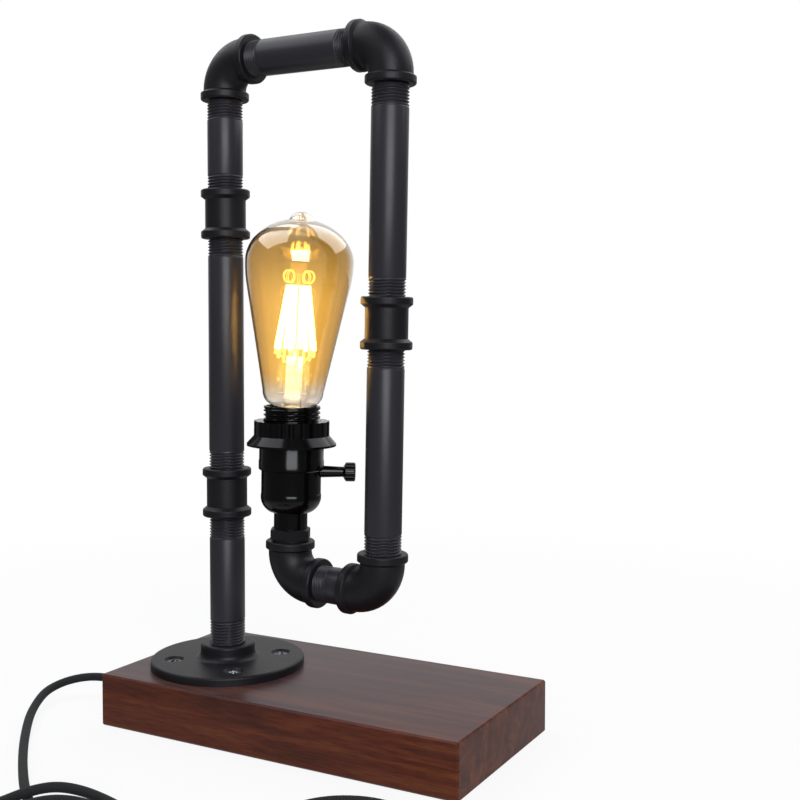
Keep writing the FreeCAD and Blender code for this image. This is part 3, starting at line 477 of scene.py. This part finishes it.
BOXES = {  # place and size in metres, power in watts
    "left_bank": ((-0.495, -0.12, 1.04), (1.15, 0.75), 5.2),
    "right_bank": ((0.33, 0.55, 0.92), (1.20, 0.70), 4.2),
    "front_fill": ((1.00, -1.40, 0.80), (1.20, 1.20), 26),
}
for name, (place, size, power) in BOXES.items():
    lamp = softbox(name, place, size, power)
    print(name, "stands", round(lamp.location.length, 2), "m away")

# %% [markdown]
# ## Black pipe
# Steam pipe that is painted satin black. Paint lies smooth on the drawn tube, so the pipe gets only
# a faint cloudiness in its gloss. The crests of a cut thread catch the light more than its roots.

# %% Satin paint on pipe
def satin_pipe():
    material, shader = finish("satin_black_paint", "2c2b30", Roughness=0.36, Specular_IOR_Level=0.36)
    where = add(material, "ShaderNodeTexCoord", {})
    cloud = add(
        material, "ShaderNodeTexNoise", {"Vector": where.outputs["Object"], "Scale": per(9), "Detail": 3.0}
    )
    rough = add(material, "ShaderNodeMapRange", {0: cloud.outputs[0], 3: 0.3, 4: 0.42})
    grain = add(
        material, "ShaderNodeTexNoise",
        {"Vector": where.outputs["Object"], "Scale": per(0.7), "Detail": 2.0},
    )
    bump = add(
        material, "ShaderNodeBump", {"Height": grain.outputs[0], "Strength": 0.12, "Distance": 0.1 * MM}
    )
    material.node_tree.links.new(rough.outputs[0], shader.inputs["Roughness"])
    material.node_tree.links.new(bump.outputs[0], shader.inputs["Normal"])
    return material


PIPE_PAINT = satin_pipe()

# %% [markdown]
# A taper pipe thread is a groove wound round the tube. Its radius depends on height and angle
# together: one full turn of the angle moves the groove up by one pitch. A smooth window fades the
# groove out where the die stopped cutting.

# %% Threaded pipes
def wound(radius, depth, pitch, heights, low, high, segments=64):
    """r = radius - depth * groove: the groove is a clipped cosine of height and angle together."""
    z = np.asarray(heights, dtype=float)[:, None]
    angle = np.linspace(0, 2 * np.pi, segments, endpoint=False)
    groove = np.clip(0.5 - 0.75 * np.cos(2 * np.pi * z / pitch - angle), 0, 1)
    window = np.clip((z - low) / (0.8 * pitch), 0, 1) * np.clip((high - z) / (0.5 * pitch), 0, 1)
    r = radius - depth * groove * window
    return np.stack([r * np.cos(angle), r * np.sin(angle), z + 0 * angle], axis=-1)


PIPE_R, PIPE_BORE_R, PITCH, DEPTH = 10.65, 7.9, 1.81, 0.95
ELBOW_BITE, COUPLING_BITE = 12.2, 3.0  # from a fitting's middle to the pipe's end
LOWER_COUPLING, UPPER_COUPLING, DROP_COUPLING = 137.9, 307.1, 243.4


def threaded(low, high, low_thread, high_thread):
    """Outside r = radius - depth * groove * window, then down the bore and back to the start."""
    rows = [np.arange(low, low + low_thread, PITCH / 8), np.arange(high - high_thread, high, PITCH / 8)]
    z = np.unique(np.concatenate([[low], rows[0], rows[1], [high]]))[:, None]
    angle = np.linspace(0, 2 * np.pi, 64, endpoint=False)
    groove = 0.5 - 0.5 * np.cos(2 * np.pi * z / PITCH - angle)
    window = np.clip((low + low_thread - z) / 2.5, 0, 1) + np.clip((z - high + high_thread) / 2.5, 0, 1)
    r = PIPE_R - DEPTH * groove**0.8 * np.clip(window, 0, 1)
    outside = np.stack([r * np.cos(angle), r * np.sin(angle), z + 0 * angle], axis=-1)
    inside = revolved([(PIPE_BORE_R, high), (PIPE_BORE_R, low)])
    return np.concatenate([outside, inside, outside[:1]])


DROP = ARM @ at(LOOP_WIDTH)
ALONG = ARM @ at(0, 0, ARM_HEIGHT) @ turn(90, "Y")
BACK = ARM @ at(0, 0, LOW_HEIGHT) @ turn(90, "Y")
PIPES = {  # place, low end, high end, and the length of thread at each
    "lower_riser": (LOOP, 32.5, LOWER_COUPLING - COUPLING_BITE, 27.3, 26),
    "middle_riser": (LOOP, LOWER_COUPLING + COUPLING_BITE, UPPER_COUPLING - COUPLING_BITE, 23, 23.5),
    "upper_riser": (LOOP, UPPER_COUPLING + COUPLING_BITE, ARM_HEIGHT - ELBOW_BITE, 21, 23.5),
    "top_nipple": (ALONG, ELBOW_BITE, LOOP_WIDTH - ELBOW_BITE, 20, 20),
    "upper_drop_pipe": (DROP, DROP_COUPLING + COUPLING_BITE, ARM_HEIGHT - ELBOW_BITE, 23, 24),
    "lower_drop_pipe": (DROP, LOW_HEIGHT + ELBOW_BITE, DROP_COUPLING - COUPLING_BITE, 22.4, 23),
    "return_nipple": (BACK, SOCKET_X + ELBOW_BITE, LOOP_WIDTH - ELBOW_BITE, 20, 11),
}
for name, (place, low, high, low_thread, high_thread) in PIPES.items():
    grid = threaded(low, high, low_thread, high_thread)
    skin(f"threaded_{name}", [grid], "lamp", PIPE_PAINT, place, 60, [name])

# %% [markdown]
# ## Malleable iron fittings
# Elbows, couplings and the flange are cast in sand and painted with the same black. The sand leaves
# a fine orange-peel grain about a millimetre wide, so their highlights are broader and duller than
# the pipe's. The grain is a bump, because it is far too shallow to show on an outline.

# %% Cast iron paint
def cast_paint():
    material, shader = finish("black_malleable_iron", "141317", Roughness=0.46, Specular_IOR_Level=0.27)
    where = add(material, "ShaderNodeTexCoord", {})
    sand = add(
        material, "ShaderNodeTexNoise",
        {"Vector": where.outputs["Object"], "Scale": per(1.1), "Detail": 3.0},
    )
    swell = add(
        material, "ShaderNodeTexNoise", {"Vector": where.outputs["Object"], "Scale": per(14), "Detail": 2.0}
    )
    tint = add(
        material, "ShaderNodeMix", {0: swell.outputs[0], 6: colour("121114"), 7: colour("1b1a1f")},
        data_type="RGBA",
    )
    rough = add(material, "ShaderNodeMapRange", {0: sand.outputs[0], 3: 0.34, 4: 0.54})
    bump = add(
        material, "ShaderNodeBump", {"Height": sand.outputs[0], "Strength": 0.35, "Distance": 0.25 * MM}
    )
    link = material.node_tree.links.new
    link(tint.outputs[2], shader.inputs["Base Color"])
    link(rough.outputs[0], shader.inputs["Roughness"])
    link(bump.outputs[0], shader.inputs["Normal"])
    return material


CAST_PAINT = cast_paint()
for node in (
    "floor_flange", "lower_coupling", "upper_coupling", "drop_coupling", "riser_elbow",
    "drop_elbow", "return_elbow", "socket_elbow", "hex_bushing",
):
    coat_node(node, CAST_PAINT)

# %% [markdown]
# ## The stained block
# A planed pine board, stained reddish brown and sealed. Pine has long flame-shaped grain that runs
# with the board. A noise that is stretched 12 times along X gives the flames, a finer one gives
# the pores. The sealer is glossy and mirrors what stands on it. Where one looks along the wood, its
# colour is mixed towards a cool grey: that grey is a painted sheen.

# %% Stained pine
def stained_pine():
    material, shader = finish(
        "stained_pine", "60301f", Roughness=0.3, Specular_IOR_Level=0.2, Specular_Tint=colour("d4e0ff")
    )
    link = material.node_tree.links.new
    where = add(material, "ShaderNodeTexCoord", {})
    board = add(material, "ShaderNodeMapping", {"Vector": where.outputs["Object"], "Scale": (0.08, 1, 1)})
    flames = add(
        material, "ShaderNodeTexNoise",
        {"Vector": board.outputs[0], "Scale": per(12), "Detail": 3.0, "Distortion": 1.2},
    )
    pores = add(
        material, "ShaderNodeTexNoise", {"Vector": board.outputs[0], "Scale": per(1.0), "Detail": 2.0}
    )
    stain = add(material, "ShaderNodeValToRGB", {0: flames.outputs[0]})
    ramp = stain.color_ramp
    ramp.elements[0].position, ramp.elements[0].color = 0.3, colour("462519")
    ramp.elements[1].position, ramp.elements[1].color = 0.74, colour("7a4828")
    middle = ramp.elements.new(0.5)
    middle.color = colour("60301f")
    fine = add(material, "ShaderNodeMapRange", {0: pores.outputs[0], 1: 0.34, 2: 0.6, 3: 0.74, 4: 1.08})
    shade = add(
        material, "ShaderNodeVectorMath", {0: stain.outputs[0], "Scale": fine.outputs[0]}, operation="SCALE"
    )
    rough = add(material, "ShaderNodeMapRange", {0: pores.outputs[0], 3: 0.24, 4: 0.4})
    bump = add(
        material, "ShaderNodeBump", {"Height": pores.outputs[0], "Strength": 0.25, "Distance": 0.15 * MM}
    )
    # Painted sheen: the base colour turns to a cool grey where one looks along the wood.
    slant = add(material, "ShaderNodeLayerWeight", {"Blend": 0.5})
    painted_sheen_mask = add(
        material, "ShaderNodeMapRange", {0: slant.outputs["Facing"], 1: 0.62, 2: 0.8, 3: 0.0, 4: 0.9}
    )
    painted_sheen_base = add(
        material, "ShaderNodeMix", {0: painted_sheen_mask.outputs[0], 6: shade.outputs[0], 7: colour("3c3e46")},
        data_type="RGBA",
    )
    link(painted_sheen_base.outputs[2], shader.inputs["Base Color"])
    link(rough.outputs[0], shader.inputs["Roughness"])
    link(bump.outputs[0], shader.inputs["Normal"])
    return material


coat_node("wood_base", stained_pine())

# %% [markdown]
# Hardboard closes the wiring pocket underneath. It is pressed from wood fibre, so it has specks in
# all directions and no grain.

# %% Hardboard
def hardboard():
    material, shader = finish("pressed_hardboard", "3b2a1e", Roughness=0.75)
    where = add(material, "ShaderNodeTexCoord", {})
    fibre = add(
        material, "ShaderNodeTexNoise",
        {"Vector": where.outputs["Object"], "Scale": per(0.9), "Detail": 4.0},
    )
    tint = add(
        material, "ShaderNodeMix", {0: fibre.outputs[0], 6: colour("2c1e15"), 7: colour("4d3727")},
        data_type="RGBA",
    )
    material.node_tree.links.new(tint.outputs[2], shader.inputs["Base Color"])
    return material


coat_node("base_cover", hardboard())

# %% [markdown]
# ## The socket
# Its shell is moulded phenolic, polished black. It mirrors the room, so it gets a low roughness and
# almost no texture. The threaded sleeve at the top has a coarse round thread for the shade ring.

# %% Polished phenolic
def polished_phenolic():
    material, shader = finish("polished_black_phenolic", "050505", Roughness=0.14, Specular_IOR_Level=0.3)
    where = add(material, "ShaderNodeTexCoord", {})
    flow = add(
        material, "ShaderNodeTexNoise", {"Vector": where.outputs["Object"], "Scale": per(6), "Detail": 2.0}
    )
    rough = add(material, "ShaderNodeMapRange", {0: flow.outputs[0], 3: 0.10, 4: 0.2})
    material.node_tree.links.new(rough.outputs[0], shader.inputs["Roughness"])
    return material


SHELL_BLACK = polished_phenolic()
for node in ("socket_cap", "shade_ring", "switch_knob", "socket_set_screw"):
    coat_node(node, SHELL_BLACK)


def socket_shell():
    """Band, barrel and sleeve as one profile. On the sleeve, r drops by a rounded groove."""
    cup_top, band_top, shoulder, top, inside = 65.4, 71.3, 82.0, 103.0, 15.0
    lower = [(inside, cup_top), (18.75, cup_top), (19.25, cup_top + 0.5), (19.25, band_top - 0.4),
             (19.0, band_top), (19.0, shoulder - 0.6), (18.4, shoulder), (16.7, shoulder)]
    z = np.arange(shoulder, top - 0.4, 0.2)
    sleeve = wound(16.7, 1.05, 2.6, z, shoulder + 1, top - 0.8, 96)
    rim = revolved([(16.4, top), (inside + 0.3, top), (inside, top - 0.3), (inside, cup_top)], 96)
    return np.concatenate([revolved(lower, 96), sleeve, rim])


skin(
    "threaded_socket_body", [socket_shell()],
    "lamp", SHELL_BLACK, SOCKET, 35, ["socket_body"],
)

# %% [markdown]
# ## Brass, phenolic and plated steel
# The parts that carry current are bare brass, which yellows a little unevenly. The switch block is
# brown phenolic. Screws are zinc plated, which looks grey and slightly cloudy. The bulb's cap is
# pressed aluminium, paler and smoother than zinc. The plug and the clip are moulded PVC.

# %% Small metals and plastics
BRASS = metal("bare_brass", "c9a24f", 0.28, 3)
ZINC = metal("zinc_plated_steel", "8d8d90", 0.42, 1.5)
ALUMINIUM = metal("pressed_aluminium", "c8c8c4", 0.35, 2)
PHENOLIC = moulded("brown_phenolic", "241a14", 0.35, 0.8, 0.05)
PLUG_PLASTIC = moulded("moulded_pvc_plug", "1b1b1c", 0.5, 0.6, 0.08)
INSULATION = moulded("wire_insulation", "a8a69f", 0.5, 0.5, 0.03)
COATS = {
    "terminal_screws": BRASS, "centre_contact": BRASS, "plug_blades": BRASS, "switch_spindle": BRASS,
    "cap_contact": BRASS, "screw_shell": BRASS, "clamp_screw": ZINC,
    "lamp_nipple": ZINC, "socket_core": PHENOLIC, "switch_rotor": PHENOLIC, "cord_clamp": PLUG_PLASTIC,
    "plug_body": PLUG_PLASTIC, "wire_leads": INSULATION, "cap_insulator": PHENOLIC,
}
for node, material in COATS.items():
    coat_node(node, material)

# %% [markdown]
# ## The bulb
# The envelope is clear glass with an amber coat on its inside, which stops short of the neck and
# the tip. A ray crosses the wall twice and four glass faces in all, so each face takes only part of
# the colour. Seen at a slant the coat is deeper. Where one looks straight through, the glass gets a
# painted glow: an emission that stands in for the glare round the filaments. A metal-oxide coat
# mirrors more strongly than bare glass, which is why the bulb's highlights are so bright.

# %% Amber glass
AMBER_COAT = (6, 0), (26, 1), (98, 1), (114.5, 0)  # mm above the cap, and how dense the coat is
# Painted glow on the bulb glass: mm above the cap, and how bright.
PAINTED_GLOW_STEPS = (8, 0.0), (28, 0.26), (60, 0.26), (100, 0.0)  # mm above the cap, and how bright
# Painted glow on the stem: mm above the cap, and how bright.
PAINTED_STEM_GLOW = (2, 0.05), (14, 0.4), (22, 1.5), (33, 3.6), (38, 0.8), (84, 0.25)


def heights_of(material, *steps):
    """A number that follows height in the bulb: each step is (height, value), with soft corners."""
    where = add(material, "ShaderNodeTexCoord", {})
    height = add(material, "ShaderNodeSeparateXYZ", {0: where.outputs["Object"]})
    metres = [((GLASS @ Vector((0, 0, z))).z * MM, value) for z, value in steps]
    total = None
    for (low, before), (high, after) in zip(metres, metres[1:]):
        step = {0: height.outputs[2], 1: low, 2: high, 4: after - before}
        rise = add(material, "ShaderNodeMapRange", step, interpolation_type="SMOOTHSTEP")
        base = {0: rise.outputs[0], 1: total.outputs[0] if total else metres[0][1]}
        total = add(material, "ShaderNodeMath", base, operation="ADD")
    return total


def amber_glass():
    material, shader = finish(
        "amber_coated_glass", "ffffff", Roughness=0.0, IOR=1.47, Transmission_Weight=1.0,
        Coat_Weight=1.0, Coat_IOR=1.75, Emission_Color=colour("ffcf6c"),
    )
    link = material.node_tree.links.new
    slant = add(material, "ShaderNodeLayerWeight", {"Blend": 0.5})
    deep = add(material, "ShaderNodeMath", {0: slant.outputs["Facing"], 1: 2.0}, operation="POWER")
    amber = add(
        material, "ShaderNodeMix", {0: deep.outputs[0], 6: colour("d6bb80"), 7: colour("b8945c")},
        data_type="RGBA",
    )
    coated = heights_of(material, *AMBER_COAT)
    tint = add(
        material, "ShaderNodeMix", {0: coated.outputs[0], 6: colour("ece6df"), 7: amber.outputs[2]},
        data_type="RGBA",
    )
    straight = add(material, "ShaderNodeMath", {0: 1.0, 1: slant.outputs["Facing"]}, operation="SUBTRACT")
    painted_glow_facing = add(material, "ShaderNodeMath", {0: straight.outputs[0], 1: 3.0}, operation="POWER")
    # Painted glow: emission where one looks straight through the glass, at the heights above.
    near = heights_of(material, *PAINTED_GLOW_STEPS)
    glow = add(material, "ShaderNodeMath", {0: painted_glow_facing.outputs[0], 1: near.outputs[0]}, operation="MULTIPLY")
    link(tint.outputs[2], shader.inputs["Base Color"])
    link(glow.outputs[0], shader.inputs["Emission Strength"])
    return material


def glass_with_painted_glow():
    """The stem is clear. Its emission is a painted glow, brightest just under the filaments."""
    material, shader = finish(
        "clear_lead_glass", "fbf9f0", Roughness=0.0, IOR=1.5, Transmission_Weight=1.0,
        Emission_Color=colour("ffecc0"),
    )
    painted_stem_glow_strength = heights_of(material, *PAINTED_STEM_GLOW)
    material.node_tree.links.new(painted_stem_glow_strength.outputs[0], shader.inputs["Emission Strength"])
    return material


def hot_rod():
    """White hot where one looks straight at a rod, yellow along its edges."""
    material, shader = finish("lit_phosphor", "ffe9a8", Roughness=0.6)
    slant = add(material, "ShaderNodeLayerWeight", {"Blend": 0.5})
    heat = add(
        material, "ShaderNodeMix",
        {0: slant.outputs["Facing"], 6: colour("fff0c4"), 7: colour("ffc65a")}, data_type="RGBA",
    )
    strength = add(material, "ShaderNodeMapRange", {0: slant.outputs["Facing"], 3: 22.0, 4: 8.0})
    material.node_tree.links.new(heat.outputs[2], shader.inputs["Emission Color"])
    material.node_tree.links.new(strength.outputs[0], shader.inputs["Emission Strength"])
    return material


coat_node("bulb_glass", amber_glass())
coat_node("glass_stem", glass_with_painted_glow())

# %% [markdown]
# Eight glowing rods lean in to the top like the bars of a cage. Curled springs hold their tops. Each
# is a wire bent into one and a half turns, so it is a small tube whose centre line is a helix.
# Straight leads carry the lower ends.

# %% Filaments, springs and leads
def wire_along(points, radius, segments=10):
    """A tube round a line: at each point, a circle square to the line's direction."""
    points = np.asarray(points, dtype=float)
    along = np.gradient(points, axis=0)
    along /= np.linalg.norm(along, axis=1)[:, None]
    side = np.cross(along, [0.31, 0.17, 0.93])
    side /= np.linalg.norm(side, axis=1)[:, None]
    other = np.cross(along, side)
    angle = np.linspace(0, 2 * np.pi, segments, endpoint=False)
    ring = np.cos(angle)[None, :, None] * side[:, None] + np.sin(angle)[None, :, None] * other[:, None]
    body = points[:, None] + radius * ring
    ends = [np.repeat(points[i][None, None], segments, axis=1) for i in (0, -1)]
    return np.concatenate([ends[0], body, ends[1]])


def curl(turned_by):
    """A helix about a level axis: the circle's plane holds the bulb's axis."""
    a = np.linspace(-0.5 * np.pi, 2.5 * np.pi, 60)
    x, z, y = 7.4 + 3.6 * np.cos(a), 80 + 3.6 * np.sin(a), np.linspace(-0.9, 0.9, 60)
    c, s = math.cos(turned_by), math.sin(turned_by)
    return wire_along(np.stack([x * c - y * s, x * s + y * c, z], axis=1), 0.3)


def lead(turned_by):
    c, s = math.cos(turned_by), math.sin(turned_by)
    r, z = np.array([3.2, 5.5, 10.9]), np.array([27.0, 30.0, 36.6])
    return wire_along(np.stack([r * c, r * s, z], axis=1), 0.35)


# The springs' and leads' emission is a painted glow. The wire is no lamp: its brightness stands in for the
# light of the rods beside it.
painted_glow_wire, _ = finish(
    "nickel_wire_with_painted_glow", "c9a870", Metallic=1.0, Roughness=0.25,
    Emission_Color=colour("ffdb90"), Emission_Strength=2.6,
)
quarter = [i * math.pi / 2 for i in range(4)]
springs = [curl(a) for a in quarter] + [lead(a + math.pi / 4) for a in quarter]
skin("filament_springs", springs, "bulb", painted_glow_wire, GLASS, 60, ["filament_wires"])


def filament(turned_by):
    """A straight rod with rounded ends, which leans in from radius 11.5 to radius 6."""
    share = np.array([0, 0.006, 0.02, 0.5, 0.98, 0.994, 1])
    radius = np.array([0.8, 1.3, 1.5, 1.5, 1.5, 1.3, 0.8])
    r, z = 11.5 - 5.5 * share, 37 + 38 * share
    line = np.stack([r * math.cos(turned_by), r * math.sin(turned_by), z], axis=1)
    return wire_along(line, radius[:, None, None], 20)


rods = [filament((i + 0.5) * math.pi / 4) for i in range(8)]
skin("glowing_filaments", rods, "bulb", hot_rod(), GLASS, 60, ["led_filaments"])

# %% [markdown]
# The bulb's cap is thin sheet with a rolled thread, so its inside follows its outside. It shows
# when the bulb is unscrewed.

# %% Threaded cap
def rolled_cap(wall=0.4):
    """The outside is a rolled end and a wound thread. The inside is the same, one wall further in."""
    end = revolved([(9.1, -20), (10.6, -19.6), (11.8, -18.6), (12.1, -17.4)])
    thread = wound(13.1, 0.95, 3.63, np.arange(-17, -1, 0.2), -17, -1.2)
    outside = np.concatenate([end, thread, revolved([(13.1, -0.6), (13.1, 0)])])
    inside = outside[::-1].copy()
    inside[..., :2] *= 1 - wall / 13.1
    inside[-1, :, 2] += wall
    return np.concatenate([outside, inside, outside[:1]])


skin("threaded_bulb_cap", [rolled_cap()], "bulb", ALUMINIUM, BULB, 50, ["bulb_cap"])

# %% [markdown]
# ## Braided cover of the cord
# Dark yarns cross each other round the lead. Two slanted sine waves on the cord's own UV map cross
# in the same way, 12 to the turn. Real yarns are about 0.6 mm wide, too fine to show in a picture
# of the whole lamp, so these are drawn twice as wide.

# %% Braid
YARNS, YARN_STEP, BRAIDED = 12, 2.2, 1830  # to the turn, mm along the cord, mm of cord


def braid():
    material, shader = finish(
        "braided_cotton", "1a1c1c", Roughness=0.8, Specular_IOR_Level=0.3, Sheen_Weight=0.05,
        Sheen_Roughness=0.5,
    )
    where = add(material, "ShaderNodeTexCoord", {})
    uv = add(material, "ShaderNodeSeparateXYZ", {0: where.outputs["UV"]})
    yarns = []
    for way in (1, -1):
        turns = {0: uv.outputs[1], 1: way * YARNS * 2 * math.pi}
        around_it = add(material, "ShaderNodeMath", turns, operation="MULTIPLY")
        waves = {0: uv.outputs[0], 1: BRAIDED / YARN_STEP * 2 * math.pi, 2: around_it.outputs[0]}
        along_it = add(material, "ShaderNodeMath", waves, operation="MULTIPLY_ADD")
        yarns.append(add(material, "ShaderNodeMath", {0: along_it.outputs[0]}, operation="SINE"))
    cross = add(
        material, "ShaderNodeMath", {0: yarns[0].outputs[0], 1: yarns[1].outputs[0]}, operation="MULTIPLY"
    )
    high = add(material, "ShaderNodeMapRange", {0: cross.outputs[0], 1: -1.0, 2: 1.0})
    tint = add(
        material, "ShaderNodeMix", {0: high.outputs[0], 6: colour("111313"), 7: colour("262929")},
        data_type="RGBA",
    )
    bump = add(
        material, "ShaderNodeBump", {"Height": high.outputs[0], "Strength": 0.4, "Distance": 0.2 * MM}
    )
    material.node_tree.links.new(tint.outputs[2], shader.inputs["Base Color"])
    material.node_tree.links.new(bump.outputs[0], shader.inputs["Normal"])
    return material


BRAID = braid()
cord.data.materials.append(BRAID)
coat_node("inner_cord", BRAID)

# %% [markdown]
# ## Screws
# Countersunk wood screws with a cross recess: four hold the flange, and four small ones the cover.
# The head is a dome on a polar grid, and its height is lowered inside the two crossing slots.

# %% Wood screws
def cross_screw(head, shank, length, rise):
    """z = a raised dome - the recess, whose depth falls off across each arm and along it."""
    angle = np.linspace(0, 2 * np.pi, 64, endpoint=False)
    r = np.linspace(0, head, 30)[:, None]
    x, y = r * np.cos(angle), r * np.sin(angle)
    arms = [
        np.clip((0.19 - abs(a) / head) / 0.05, 0, 1) * np.clip((0.6 - abs(b) / head) / 0.1, 0, 1)
        for a, b in ((x, y), (y, x))
    ]
    z = head * (rise * (1 - (r / head) ** 2) - 0.4 * np.maximum(*arms))
    top = np.stack([x, y, z + 0 * x], axis=-1)
    under = revolved([(shank, -(head - shank)), (shank, shank - length), (0, -length)])
    return np.concatenate([top, under])[::-1]


DARK_PLATE = metal("dark_zinc_plate", "77787d", 0.36, 1.5)
flange_spots = [turn(90 * i + 45, "Z") @ at(32.6, 0, 34.6) @ turn(23 * i + 10, "Z") for i in range(4)]
cover_corners = [(x, y) for x in (-107.5, -44.5) for y in (-27.5, 15.5)]
cover_spots = [at(x, y, 0.5) @ turn(180, "X") @ turn(x + y, "Z") for x, y in cover_corners]
flange_set = [placed(cross_screw(4.8, 2.0, 15.0, 0.13), spot) for spot in flange_spots]
cover_set = [placed(cross_screw(2.6, 1.4, 10.0, 0.05), spot) for spot in cover_spots]
skin("cross_recess_screws", flange_set, "lamp", DARK_PLATE, LOOP, 40, ["flange_screws"])
skin("cover_recess_screws", cover_set, "lamp", ZINC, smooth=40, replaces=["cover_screws"])
